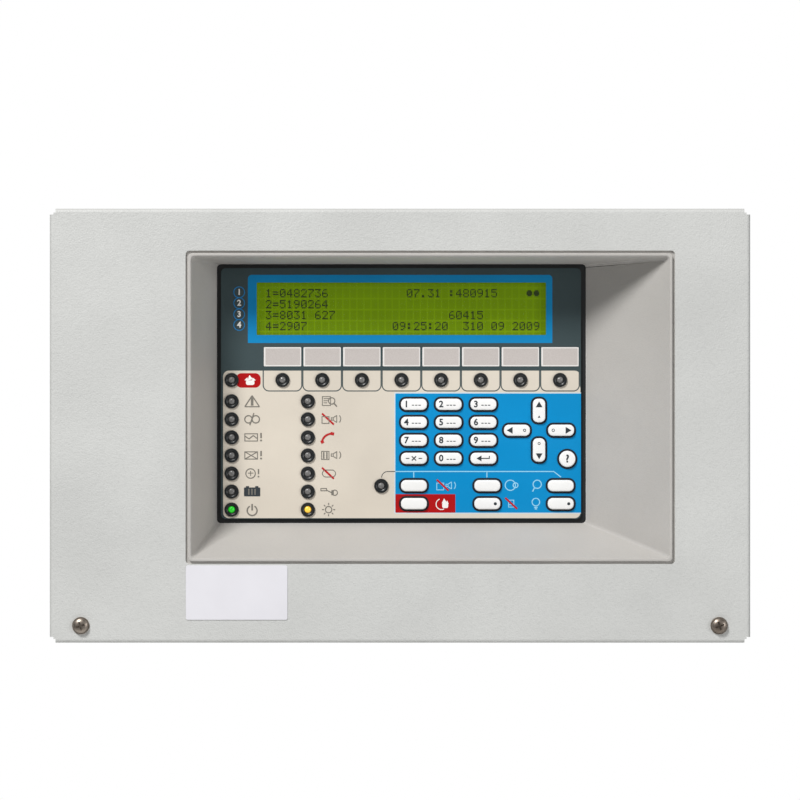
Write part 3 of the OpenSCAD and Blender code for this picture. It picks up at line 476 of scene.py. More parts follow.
@dataclass(frozen=True)
class PrintedOverlay(Finish):
    """Satin overlay of the fascia: slate ground, beige indicator field, blue key field and red fields."""

    slate: Colour = (64, 78, 81)
    beige: Colour = (222, 213, 199)
    blue: Colour = (0, 142, 205)
    frame_blue: Colour = (14, 136, 196)
    red: Colour = (178, 12, 16)
    line: Colour = (206, 226, 236)

    def build(self) -> Material:
        """Build the material.

        Returns:
            The material.
        """
        surface = self.open()
        x, _, z = surface.axes()
        local = surface.in_turn(x, ZONE_X - ZONE_PITCH / 2, ZONE_PITCH)

        def area(x0: float, x1: float, z0: float, z1: float, corner: float, across: Socket = x) -> object:
            """Place one printed area.

            Args:
                x0: Left edge.
                x1: Right edge.
                z0: Lower edge.
                z1: Upper edge.
                corner: Radius of its corners.
                across: Place across, for areas that repeat.

            Returns:
                The outputs of the area's node group.
            """
            return Effect.use(
                surface, "printed_field", X=across, Z=z, Middle_X=(x0 + x1) / 2, Middle_Z=(z0 + z1) / 2,
                Half_Width=(x1 - x0) / 2, Half_Height=(z1 - z0) / 2, Corner=corner,
            )

        colour = paint(self.slate)
        for ink, *edges in (
            (self.frame_blue, -78.6, 78.7, 42.5, 77.7, 2.0),
            (self.frame_blue, -78.6, 78.7, 42.5, 60.0, 0.1),
            (self.beige, -91.4, 93.2, -48.0, 28.2, 3.0),
        ):
            colour = surface.blend(area(*edges)["Mask"], colour, paint(ink))
        # Outline of the zone tabs, and the slate between them
        edge = area(-9.95, 9.95, 17.7, 40.0, 3.0, local)["Distance"]
        rim = surface.math("DIVIDE", surface.minus(0.36, surface.math("ABSOLUTE", edge)), 0.16, clamp=True)
        for mask, bottom in ((rim, 10.0), (surface.spread(edge, 0.2, 0.5), 20.6)):
            strip = area(-71.0, 93.6, bottom, 28.3, 0.1)["Mask"]
            colour = surface.blend(surface.times(mask, strip), colour, paint(self.slate))
        for ink, *edges in (
            (self.line, -2.9, 94.5, -45.6, 16.9, 0.6),
            (self.blue, -2.4, 94.5, -45.2, 16.4, 0.4),
            (self.red, -2.4, 28.6, -45.2, -35.6, 0.4),
            (self.red, -84.7, -72.0, 19.4, 26.9, 2.8),
        ):
            colour = surface.blend(area(*edges)["Mask"], colour, paint(ink))
        grain = Effect.use(surface, "coat_grain", Pitch=0.28)
        tone = surface.spread(grain["Tone"], 0.3, 0.7, 0.94, 1.05)
        grey = surface.add("CombineColor", dict.fromkeys(range(3), tone)).outputs[0]
        shine = Effect.use(surface, "handling")["Shine"]
        surface.shade(
            Base_Color=surface.blend(1.0, colour, grey, "MULTIPLY"), Specular_IOR_Level=0.25,
            Roughness=surface.spread(shine, 0.0, 1.0, self.roughness - 0.05, self.roughness + 0.06),
        )
        surface.relief(grain["Height"], 0.004)
        return surface.material


@dataclass(frozen=True)
class ClearSheet(Finish):
    """Clear acrylic, with faint wiping marks."""

    def build(self) -> Material:
        """Build the material.

        Returns:
            The material.
        """
        surface = self.open()
        wipes = Effect.use(surface, "handling")["Shine"]
        surface.shade(
            Base_Color=(0.03, 0.035, 0.035), IOR=1.49, Alpha=surface.spread(wipes, 0.0, 1.0, 0.02, 0.05),
            Roughness=surface.spread(wipes, 0.0, 1.0, 0.04, 0.12),
        )
        return surface.material


@dataclass(frozen=True)
class DisplayCell(Finish):
    """Yellow-green display cell with its faint grid of character cells, lit from its lower edge."""

    colour: Colour = (112, 143, 8)
    shade: Colour = (78, 104, 4)
    left: float = -73.4
    bottom: float = 48.48
    column: float = 3.65
    row: float = 5.68

    def build(self) -> Material:
        """Build the material.

        Returns:
            The material.
        """
        surface = self.open()
        x, _, z = surface.axes()
        away = [
            surface.math("ABSOLUTE", surface.in_turn(axis, start, pitch))
            for axis, start, pitch in ((x, self.left, self.column), (z, self.bottom, self.row))
        ]
        inside_x = surface.spread(away[0], self.column * 0.38, self.column * 0.46, 1.0, 0.0)
        inside_z = surface.spread(away[1], self.row * 0.40, self.row * 0.46, 1.0, 0.0)
        cell = surface.times(surface.times(inside_x, inside_z), 0.42)
        glow = surface.spread(z, 46.0, 74.5, 1.0, 0.35)
        uneven = surface.spread(surface.noise(surface.place(), 0.05, 2.0), 0.3, 0.7, 0.85, 1.1)
        base = surface.blend(cell, paint(self.colour), paint(self.shade))
        base = surface.blend(surface.times(glow, uneven), paint(self.shade), base)
        surface.shade(Base_Color=base, Emission_Color=base, Emission_Strength=0.62, Specular_IOR_Level=0.15)
        return surface.material


@dataclass(frozen=True)
class LabelCard(Finish):
    """Warm white card of the zone labels, with a painted highlight along the edges of each field."""

    colour: Colour = (189, 181, 177)
    # Colour of the painted highlight along the edges of each field
    edge: Colour = (236, 233, 230)
    middle_z: float = 35.4

    def build(self) -> Material:
        """Build the material.

        Returns:
            The material.
        """
        surface = self.open()
        x, _, z = surface.axes()
        slip = Effect.use(
            surface, "printed_field", X=surface.in_turn(x, ZONE_X - ZONE_PITCH / 2, ZONE_PITCH), Z=z,
            Middle_X=0.15, Middle_Z=self.middle_z, Half_Width=9.0, Half_Height=4.35, Corner=0.3, Edge=0.3,
        )
        edge = paint(self.edge)
        fibres = surface.noise(surface.place(), 2.2, 5.0)
        card = surface.blend(surface.spread(fibres, 0.3, 0.7, 0.0, 0.25), paint(self.colour), edge)
        # Painted highlight: the edges of each field take the paler colour
        surface.shade(Base_Color=surface.blend(slip["Mask"], edge, card))
        surface.relief(fibres, 0.01)
        return surface.material


@dataclass(frozen=True)
class LampLens(Finish):
    """Diffusing indicator lens, dull or lit from inside."""

    colour: Colour = (104, 103, 102)
    glow: float = 0.0

    def build(self) -> Material:
        """Build the material.

        Returns:
            The material.
        """
        surface = self.open()
        colour = paint(self.colour)
        cloud = surface.spread(surface.noise(surface.place(), 0.9, 3.0), 0.3, 0.7)
        base = surface.blend(cloud, colour, lifted(colour, 1.35, 0.03))
        surface.shade(Base_Color=base, Coat_Weight=0.4, Coat_Roughness=0.12)
        if self.glow:
            surface.shade(Emission_Color=base, Emission_Strength=self.glow)
        return surface.material


@dataclass(frozen=True)
class CircuitBoard(Finish):
    """Solder mask over copper tracks, with rows of pads, its colours in linear light."""

    mask: Colour = (0.008, 0.10, 0.035)
    track: Colour = (0.02, 0.19, 0.07)
    pad: Colour = (0.55, 0.52, 0.42)

    def build(self) -> Material:
        """Build the material.

        Returns:
            The material.
        """
        surface = self.open()
        place = surface.place()
        zones = surface.spread(surface.noise(place, 0.035, 0.0), 0.49, 0.5)
        feeds: dict[str | int, object] = {0: zones}
        for slot, (turned, scale) in enumerate(((0.0, 0.28), (math.pi / 2, 0.378)), 2):
            mapping = surface.add("Mapping", {"Vector": place, "Rotation": (math.pi / 2, turned, 0.0)})
            feeds[slot] = surface.add("TexBrick", {
                "Vector": mapping.outputs[0], "Scale": scale, "Mortar Size": 0.09, "Brick Width": 3.2,
                "Row Height": 0.42,
            }).outputs["Fac"]
        copper = surface.minus(1.0, surface.add("Mix", feeds, data_type="FLOAT").outputs[0])
        dots = surface.add(
            "TexVoronoi", {"Vector": place, "Scale": 0.26, "Randomness": 0.35}, feature="F1", distance="EUCLIDEAN"
        )
        pads = surface.spread(dots.outputs["Distance"], 0.13, 0.16, 1.0, 0.0)
        surface.shade(
            Base_Color=surface.blend(pads, surface.blend(copper, self.mask, self.track), self.pad),
            Roughness=surface.spread(pads, 0.0, 1.0, self.roughness, 0.45),
        )
        surface.relief(copper, 0.03)
        return surface.material


@dataclass(frozen=True)
class SupplyParts(Finish):
    """Mixed parts of the power supply: board at the back, wound core and cans in front of it."""

    front: float = -12.0
    cans_x: float = -98.2

    def build(self) -> Material:
        """Build the material.

        Returns:
            The material.
        """
        surface = self.open()
        x, y, _ = surface.axes()
        place = surface.place()
        winding = surface.add("TexWave", {"Vector": place, "Scale": 0.9}, bands_direction="Z").outputs["Fac"]
        tape = surface.blend(winding, paint((196, 150, 40)), paint((150, 96, 30)))
        parts = surface.blend(surface.spread(x, self.cans_x, self.cans_x + 0.2), tape, paint((24, 30, 60)))
        base = surface.blend(surface.spread(y, self.front, self.front + 0.2), parts, paint((16, 66, 40)))
        worn = surface.spread(surface.noise(place, 0.4, 4.0), 0.4, 0.7, 0.0, 0.2)
        surface.shade(Base_Color=surface.blend(worn, base, paint((120, 116, 108))))
        surface.relief(winding, 0.1)
        return surface.material


@dataclass(frozen=True)
class FlatCable(Finish):
    """Grey flat cable, its first conductor marked red along the edge, its colours in linear light."""

    colour: Colour = (0.36, 0.37, 0.38)
    mark: Colour = (0.5, 0.02, 0.02)
    mark_end: float = 44.57

    def build(self) -> Material:
        """Build the material.

        Returns:
            The material.
        """
        surface = self.open()
        x, _, _ = surface.axes()
        worn = surface.noise(surface.place(), 0.3, 4.0)
        base = surface.blend(surface.spread(worn, 0.3, 0.7, 0.0, 0.3), self.colour, paint((150, 152, 150)))
        stripe = surface.spread(x, self.mark_end, self.mark_end + 0.1, 1.0, 0.0)
        surface.shade(Base_Color=surface.blend(stripe, base, self.mark))
        surface.relief(worn, 0.01)
        return surface.material


class Palette:
    """Every finish of the panel, each built when it is first asked for."""

    RECIPES: tuple[Finish, ...] = (
        CoatedSheet("cover_coat", 0.52, (205, 206, 204), depth=0.1, tone=0.045),
        CoatedSheet("box_coat", 0.55, (196, 197, 195), (220, 220, 216), depth=0.09, dust=0.3),
        CoatedSheet(
            "bezel_moulding", 0.55, (189, 186, 182), (236, 234, 230), pitch=0.5, tone=0.04, dust=0.1, wear=0.8
        ),
        PlatedMetal("zinc_plate", 0.46),
        PlatedMetal("screw_steel", 0.42, (158, 148, 138), (96, 82, 70), (2.0, 2.0, 2.0)),
        PlatedMetal("turned_brass", 0.3, (206, 170, 92), (140, 106, 52), (2.0, 8.0, 2.0)),
        PlatedMetal("supply_sheet", 0.4, (188, 189, 188), (150, 148, 142), (6.0, 2.0, 0.2)),
        PlatedMetal("tinned", 0.3, (208, 208, 204), (160, 158, 150), (2.0, 2.0, 2.0)),
        PrintedOverlay("printed_overlay", 0.42),
        ClearSheet("clear_acrylic", 0.05),
        DisplayCell("display_cell", 0.35),
        LabelCard("label_card", 0.7),
        LampLens("lens_dull", 0.35),
        LampLens("lens_green", 0.3, (12, 188, 22), 0.3),
        LampLens("lens_yellow", 0.3, (248, 184, 58), 0.42),
        CircuitBoard("circuit_board", 0.32),
        SupplyParts("supply_parts", 0.45),
        FlatCable("flat_cable", 0.5),
        Moulding("label_film", 0.4, (226, 225, 231), 0.5, 0.002, edge=0.5),
        Moulding("display_ink", 0.5, (26, 40, 6), 0.35, 0.0005, edge=0.0),
        Moulding("black_moulding", 0.42, (26, 28, 30), depth=0.012),
        Moulding("pressed_black", 0.38, (20, 21, 22), 0.6, 0.01),
        Moulding("ring_moulding", 0.32, (24, 27, 29), 0.25, 0.003, edge=0.5),
        Moulding("key_moulding", 0.38, (246, 246, 245), 0.3, 0.003, 0.03, 0.0),
        Moulding("silicone", 0.6, (64, 64, 66), depth=0.01),
        Moulding("terminal_moulding", 0.45, (40, 132, 80)),
        Moulding("battery_moulding", 0.5, (54, 58, 62), 0.7, 0.02, 0.3),
        Moulding("red_moulding", 0.4, (186, 24, 20), depth=0.004),
        Moulding("relay_moulding", 0.35, (30, 64, 120), depth=0.004),
        Moulding("chip_moulding", 0.5, (30, 31, 33), 0.3, 0.01),
        Moulding("can_sleeve", 0.3, (26, 34, 66), 0.8, 0.004),
        Moulding("fuse_glass", 0.12, (196, 206, 204), 1.2, 0.001, edge=0.0),
        Moulding("socket_moulding", 0.5, (96, 98, 100)),
        Moulding("blanking_rubber", 0.7, (62, 63, 64), 0.5, 0.02, 0.4),
        Moulding("red_insulation", 0.4, (190, 18, 18), 0.6),
        Moulding("black_insulation", 0.4, (28, 28, 30), 0.6),
        PrintInk("ink_grey", 0.5, (122, 118, 110)),
        PrintInk("ink_dark", 0.5, (44, 52, 58)),
        PrintInk("ink_black", 0.42, (20, 22, 32)),
        PrintInk("ink_red", 0.45, (186, 20, 24)),
        PrintInk("ink_white", 0.45, (246, 244, 240)),
        PrintInk("ink_pale_blue", 0.45, (150, 212, 240)),
        PrintInk("ink_blue", 0.45, (14, 128, 196)),
    )

    def __init__(self) -> None:
        """Index the recipes by name."""
        self._recipes = {recipe.name: recipe for recipe in self.RECIPES}
        self._made: dict[str, Material] = {}

    def get(self, name: str) -> Material:
        """Find a finish's material, and build it on its first use.

        Args:
            name: Finish name.

        Returns:
            The material.
        """
        if name not in self._made:
            self._made[name] = self._recipes[name].build()
        return self._made[name]

    def dress(self, obj: Thing, name: str) -> Thing:
        """Give an object one finish.

        Args:
            obj: Object to dress.
            name: Finish name.

        Returns:
            The same object.
        """
        obj.data.materials.clear()
        obj.data.materials.append(self.get(name))
        return obj


class Bench:
    """Modelling steps that every sub-assembly uses, with lengths in millimetres."""

    @staticmethod
    def clear() -> None:
        """Leave edit mode and deselect everything."""
        if bpy.context.mode != "OBJECT":
            bpy.ops.object.mode_set(mode="OBJECT")
        bpy.ops.object.select_all(action="DESELECT")

    @staticmethod
    def pick(*objects: Thing) -> None:
        """Select only these objects and make the first one active."""
        Bench.clear()
        for obj in objects:
            obj.select_set(True)
        bpy.context.view_layer.objects.active = objects[0]

    @staticmethod
    def edit(obj: Thing, kind: str = "FACE", action: str = "SELECT") -> None:
        """Open an object's mesh.

        Args:
            obj: Object to open.
            kind: Selection mode.
            action: SELECT for all of it, DESELECT for nothing.
        """
        Bench.pick(obj)
        bpy.ops.object.mode_set(mode="EDIT")
        bpy.ops.mesh.select_mode(type=kind)
        bpy.ops.mesh.select_all(action=action)

    @staticmethod
    def close() -> None:
        """Leave edit mode."""
        bpy.ops.object.mode_set(mode="OBJECT")

    @staticmethod
    def face_out() -> None:
        """Turn all faces of the open mesh outwards and leave edit mode."""
        bpy.ops.mesh.select_all(action="SELECT")
        bpy.ops.mesh.normals_make_consistent(inside=False)
        Bench.close()

    @staticmethod
    def fix() -> Thing:
        """Put the active object's place in its mesh and return it."""
        bpy.ops.object.transform_apply(location=True, rotation=True, scale=True)
        return bpy.context.active_object

    @staticmethod
    def push(depth: float) -> None:
        """Extrude the selected faces along Y."""
        shift = {"value": (0, depth * MM, 0), "orient_type": "GLOBAL"}
        bpy.ops.mesh.extrude_region_move(TRANSFORM_OT_translate=shift)

    @staticmethod
    def choose_edges(obj: Thing, test: Callable[[Vector, Vector], bool]) -> None:
        """Select edges of the open mesh by their two ends.

        Args:
            obj: Object in edit mode.
            test: Says whether an edge between these ends, in millimetres, is wanted.
        """
        mesh = bmesh.from_edit_mesh(obj.data)
        for edge in mesh.edges:
            edge.select_set(test(*(vert.co / MM for vert in edge.verts)))
        mesh.select_flush_mode()
        bmesh.update_edit_mesh(obj.data)

    @staticmethod
    def settle(obj: Thing, name: str, smooth: float = 35.0) -> Thing:
        """Name a finished object, put its place in its mesh and shade it.

        Args:
            obj: Object to settle.
            name: Its name.
            smooth: Angle in degrees under which faces meet smoothly.

        Returns:
            The same object.
        """
        Bench.pick(obj)
        Bench.fix()
        bpy.ops.object.shade_smooth_by_angle(angle=math.radians(smooth))
        obj.name = obj.data.name = name
        return obj

    @staticmethod
    def block(low: Point, high: Point, edge: float = 0.0, segments: int = 2) -> Thing:
        """Shape a block between two corners with rounded edges.

        Args:
            low: Lowest corner.
            high: Highest corner.
            edge: Radius of its edges.
            segments: Steps in each rounded edge.

        Returns:
            The block.
        """
        Bench.clear()
        middle = tuple((a + b) / 2 * MM for a, b in zip(low, high))
        bpy.ops.mesh.primitive_cube_add(size=1, location=middle)
        bpy.context.active_object.scale = tuple((b - a) * MM for a, b in zip(low, high))
        obj = Bench.fix()
        if edge:
            Bench.edit(obj, "EDGE")
            bpy.ops.mesh.bevel(offset=edge * MM, segments=segments, affect="EDGES")
            Bench.close()
        return obj

    @staticmethod
    def turned(centre: Flat, rings: Sequence[Flat], steps: int = 32) -> Thing:
        """Turn a round piece whose axis is along Y.

        Args:
            centre: Place of its axis, across and up.
            rings: Radius and place along Y of each step of its outline, from one end to the other.
            steps: Steps around it.

        Returns:
            The turned piece, closed at both ends.
        """
        Bench.clear()
        radius, along = rings[0]
        x, z = centre
        bpy.ops.mesh.primitive_circle_add(
            vertices=steps, radius=radius * MM, fill_type="NGON", location=metres((x, along, z)), rotation=FACING_FRONT
        )
        obj = Bench.fix()
        Bench.edit(obj)
        for next_radius, next_along in rings[1:]:
            Bench.push(next_along - along)
            ratio = next_radius / radius
            bpy.ops.transform.resize(value=(ratio, 1, ratio), center_override=metres((x, next_along, z)))
            radius, along = next_radius, next_along
        Bench.face_out()
        return obj

    @staticmethod
    def rotate(obj: Thing, angle: float, axis: str, centre: Point) -> Thing:
        """Turn an object's mesh about an axis through a point.

        Args:
            obj: Object to turn.
            angle: Angle in radians.
            axis: X, Y or Z.
            centre: Point that stays where it is.

        Returns:
            The same object.
        """
        Bench.edit(obj)
        bpy.ops.transform.rotate(value=angle, orient_axis=axis, center_override=metres(centre))
        Bench.close()
        return obj

    @staticmethod
    def twin(obj: Thing, shift: Point) -> Thing:
        """Copy an object with its own mesh, set aside by a shift.

        Args:
            obj: Object to copy.
            shift: Way from the object to its copy.

        Returns:
            The copy.
        """
        Bench.pick(obj)
        bpy.ops.object.duplicate()
        bpy.ops.transform.translate(value=metres(shift))
        return Bench.fix()

    @staticmethod
    def row(obj: Thing, shifts: Iterable[Point]) -> Thing:
        """Join an object and its copies at these shifts into one."""
        return Bench.join([obj, *(Bench.twin(obj, shift) for shift in shifts)])

    @staticmethod
    def join(objects: Sequence[Thing]) -> Thing:
        """Join objects into the first one, each keeping its finish.

        Args:
            objects: Objects to join.

        Returns:
            The first one, which holds them all.
        """
        Bench.pick(*objects)
        if len(objects) > 1:
            bpy.ops.object.join()
        return bpy.context.active_object

    @staticmethod
    def modify(obj: Thing, kind: str, **settings: object) -> Thing:
        """Apply a modifier to an object.

        Args:
            obj: Object to modify.
            kind: Modifier type.
            **settings: Properties of the modifier.

        Returns:
            The same object.
        """
        Bench.pick(obj)
        bpy.ops.object.modifier_add(type=kind)
        step = obj.modifiers[-1]
        for name, value in settings.items():
            setattr(step, name, value)
        bpy.ops.object.modifier_apply(modifier=step.name)
        return obj

    @staticmethod
    def cut(obj: Thing, tool: Thing) -> Thing:
        """Cut one object by another, which is used up.

        Args:
            obj: Object to cut.
            tool: Shape to take away.

        Returns:
            The first object.
        """
        Bench.modify(obj, "BOOLEAN", object=tool, operation="DIFFERENCE", solver="EXACT")
        bpy.data.objects.remove(tool)
        return obj

    @staticmethod
    def numeral(body: str, size: float, centre: Flat, front: float, thickness: float = 0.05) -> Thing:
        """Make a raised numeral or sign that faces the front.

        Args:
            body: Characters, digits or signs only.
            size: Size of the type.
            centre: Middle of the numeral, across and up.
            front: Place of its face along Y.
            thickness: How far it stands up.

        Returns:
            The numeral as a mesh.
        """
        Bench.clear()
        bpy.ops.object.text_add()
        text = bpy.context.active_object.data
        text.body = body
        text.size = size * MM
        text.align_x = text.align_y = "CENTER"
        text.resolution_u = 3
        text.extrude = thickness / 2 * MM
        text.offset = 0.028 * size * MM
        bpy.ops.object.convert(target="MESH")
        obj = bpy.context.active_object
        obj.rotation_euler = FACING_FRONT
        obj.location = metres((centre[0], front + thickness / 2, centre[1]))
        return Bench.fix()


class Stencil:
    """A printed figure cut from flat shapes that face the front, each a hair above the last one."""

    def __init__(self, front: float, thickness: float = 0.06) -> None:
        """Open an empty figure.

        Args:
            front: Place of the printed face along Y.
            thickness: Thickness of the print.
        """
        self.front = front
        self.thickness = thickness
        self.layers = 0
        Bench.clear()
        bpy.ops.mesh.primitive_plane_add(size=MM)
        self.obj = bpy.context.active_object
        Bench.edit(self.obj)
        bpy.ops.mesh.delete(type="VERT")

    def _at(self, x: float, z: float) -> Point:
        """Return the next shape's middle on the printed face."""
        self.layers = (self.layers + 1) % 8
        return metres((x, self.front - 0.004 * self.layers, z))

    def _plate(self, x: float, z: float, width: float, height: float) -> Point:
        """Add a filled rectangle around a point.

        Args:
            x: Middle across.
            z: Middle up.
            width: Width of the rectangle.
            height: Height of the rectangle.

        Returns:
            Its middle, in metres.
        """
        middle = self._at(x, z)
        bpy.ops.mesh.primitive_plane_add(size=MM, location=middle, rotation=FACING_FRONT)
        bpy.ops.transform.resize(value=(width, 1, height), center_override=middle)
        return middle

    def _hollow(self, width: float) -> None:
        """Leave only the border of the shape that was just added.

        Args:
            width: Width of the border.
        """
        bpy.ops.mesh.select_linked()
        bpy.ops.mesh.inset(thickness=width * MM, depth=0)
        bpy.ops.mesh.delete(type="FACE")

    def disc(self, x: float, z: float, radius: float, steps: int = 24) -> Point:
        """Add a filled circle around a point.

        Args:
            x: Middle across.
            z: Middle up.
            radius: Radius of the circle.
            steps: Corners around it.

        Returns:
            Its middle, in metres.
        """
        middle = self._at(x, z)
        bpy.ops.mesh.primitive_circle_add(
            vertices=steps, radius=radius * MM, fill_type="NGON", location=middle, rotation=FACING_FRONT
        )
        return middle

    def ring(self, x: float, z: float, radius: float, width: float, steps: int = 28) -> None:
        """Add a circle's outline, measured to its outer edge."""
        self.disc(x, z, radius, steps)
        self._hollow(width)

    def wedge(self, x: float, z: float, radius: float, heading: float) -> None:
        """Add a triangle whose tip points along a heading in degrees, 0 to the right."""
        middle = self.disc(x, z, radius, 3)
        bpy.ops.transform.rotate(value=math.radians(heading - 90), orient_axis="Y", center_override=middle)

    def box(self, x0: float, x1: float, z0: float, z1: float, corner: float = 0.0) -> None:
        """Add a filled rectangle, its corners rounded on demand.

        Args:
            x0: Left edge.
            x1: Right edge.
            z0: Lower edge.
            z1: Upper edge.
            corner: Radius of its corners.
        """
        self._plate((x0 + x1) / 2, (z0 + z1) / 2, x1 - x0, z1 - z0)
        if corner:
            bpy.ops.mesh.bevel(offset=corner * MM, segments=8, affect="VERTICES")

    def frame(self, x0: float, x1: float, z0: float, z1: float, width: float, corner: float = 0.0) -> None:
        """Add a rectangle's outline, measured to its outer edge."""
        self.box(x0, x1, z0, z1, corner)
        self._hollow(width)

    def bar(self, x0: float, z0: float, x1: float, z1: float, width: float) -> None:
        """Add a straight stroke between two points."""
        middle = self._plate((x0 + x1) / 2, (z0 + z1) / 2, math.hypot(x1 - x0, z1 - z0), width)
        bpy.ops.transform.rotate(value=math.atan2(z1 - z0, x1 - x0), orient_axis="Y", center_override=middle)

    def arc(self, x: float, z: float, radius: float, width: float, start: float, end: float) -> None:
        """Add part of a circle's outline.

        Args:
            x: Middle across.
            z: Middle up.
            radius: Radius of its outer edge.
            width: Width of the stroke.
            start: First heading in degrees.
            end: Last heading in degrees, anticlockwise from the first one.
        """
        steps = max(3, round((end - start) / 15))
        marks = [math.radians(start + (end - start) * k / steps) for k in range(steps + 1)]
        middle = radius - width / 2
        ends = [(x + middle * math.cos(a), z + middle * math.sin(a)) for a in marks]
        for a, b in zip(ends, ends[1:]):
            self.bar(*a, *b, width)

    def draw(self, drawing: str, x: float = 0.0, z: float = 0.0) -> None:
        """Add the shapes of a drawing around a point.

        Args:
            drawing: Shapes set apart by commas, each its name and its numbers.
            x: Middle across.
            z: Middle up.
        """
        for shape in drawing.split(","):
            kind, *words = shape.split()
            numbers = [float(word) for word in words]
            offsets = {"box": (x, x, z, z), "frame": (x, x, z, z), "bar": (x, z, x, z)}.get(kind, (x, z))
            for index, offset in enumerate(offsets):
                numbers[index] += offset
            getattr(self, kind)(*numbers)

    def finish(self) -> Thing:
        """Give the figure its thickness and return it."""
        Bench.close()
        return Bench.modify(self.obj, "SOLIDIFY", thickness=self.thickness * MM, offset=-1.0)


@dataclass
class Assembly:
    """Base of every sub-assembly, which dresses its frame nodes and hands its pieces over to the frame."""

    palette: Palette
    nodes: dict[str, Thing]
    finishes: ClassVar[dict[str, str]] = {}

    def dress_nodes(self) -> None:
        """Give each frame node of the sub-assembly its finish."""
        for node, finish in self.finishes.items():
            self.palette.dress(self.nodes[node], finish)

    def hand_over(self, obj: Thing, body: Body | str, slot: str, *replaces: str) -> None:
        """Let a finished piece ride on a body.

        Args:
            obj: Finished piece.
            body: Body that it moves with.
            slot: Material slot of the record; not used.
            *replaces: Frame nodes that it stands for.
        """
        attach(obj, body.value if isinstance(body, Body) else body)
        if replaces:
            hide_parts(*replaces)
        LOG.info("piece %s on %s", obj.name, body)

    def build(self) -> None:
        """Build every piece of the sub-assembly."""
        raise NotImplementedError


@dataclass
class Studio:
    """Camera, lights, pale floor and white surroundings."""

    camera_place: Point = (0.0, -1725.0, 13.04)
    lens: float = 142.2
    aim: Point = (0.0, -100.0, 10.0)
    surroundings: float = 0.16
    floor_z: float = -560.0
    floor_reach: Flat = (1550.0, 1450.0)
    floor_fade: Flat = (850.0, 1500.0)

    def set_camera(self) -> None:
        """Place the camera straight in front of the panel."""
        Bench.clear()
        bpy.ops.object.camera_add(location=metres(self.camera_place), rotation=FACING_FRONT)
        camera = bpy.context.active_object
        camera.data.lens = self.lens
        camera.data.sensor_width = 36.0
        bpy.context.scene.camera = camera

    def light(self, name: str, place: Point, size: float, power: float, tint: Colour = WHITE) -> None:
        """Add one soft light that faces the panel.

        Args:
            name: Light's name.
            place: Where it stands.
            size: Side of its square.
            power: Power in watts.
            tint: Colour.
        """
        Bench.clear()
        bpy.ops.object.light_add(type="AREA", location=metres(place))
        lamp = bpy.context.active_object
        lamp.name = name
        lamp.data.size = size * MM
        lamp.data.energy = power
        lamp.data.color = tint
        lamp.rotation_euler = (Vector(self.aim) - Vector(place)).to_track_quat("-Z", "Y").to_euler()

    def set_world(self) -> None:
        """Make the surroundings white to the camera and softer as a light."""
        world = bpy.data.worlds.new("soft_surroundings")
        bpy.context.scene.world = world
        world.use_nodes = True
        graph = Graph(world.node_tree)
        seen = world.node_tree.nodes["Background"]
        rays = graph.add("LightPath").outputs["Is Camera Ray"]
        graph.feed(seen, "Color", WHITE)
        graph.feed(seen, "Strength", graph.spread(rays, 0.0, 1.0, self.surroundings, 1.0))

    def set_floor(self) -> None:
        """Lay the pale floor, which fades out and can't be seen from below."""
        Bench.clear()
        bpy.ops.mesh.primitive_plane_add(size=2, location=(0, -0.1, self.floor_z * MM))
        bpy.context.active_object.scale = (*metres(self.floor_reach), 1)
        floor = Bench.fix()
        floor.name = "pale_floor"
        surface = Surface("pale_floor", 0.8)
        away = surface.add("VectorMath", {0: surface.place()}, operation="LENGTH").outputs["Value"]
        fade = surface.spread(away, *self.floor_fade, 1.0, 0.0)
        from_above = surface.minus(1.0, surface.add("NewGeometry").outputs["Backfacing"])
        surface.shade(
            Base_Color=(0.86, 0.86, 0.85), Emission_Color=WHITE, Emission_Strength=0.15,
            Alpha=surface.times(fade, from_above),
        )
        floor.data.materials.append(surface.material)

    def build(self) -> None:
        """Set the whole studio."""
        bpy.context.scene.view_settings.view_transform = "Standard"
        self.set_camera()
        self.set_world()
        self.set_floor()
        self.light("upper_left_softbox", (-900.0, -1550.0, 1600.0), 600.0, 52.0, (1.0, 0.995, 0.985))
        self.light("right_fill", (1700.0, -1500.0, 200.0), 900.0, 12.6)


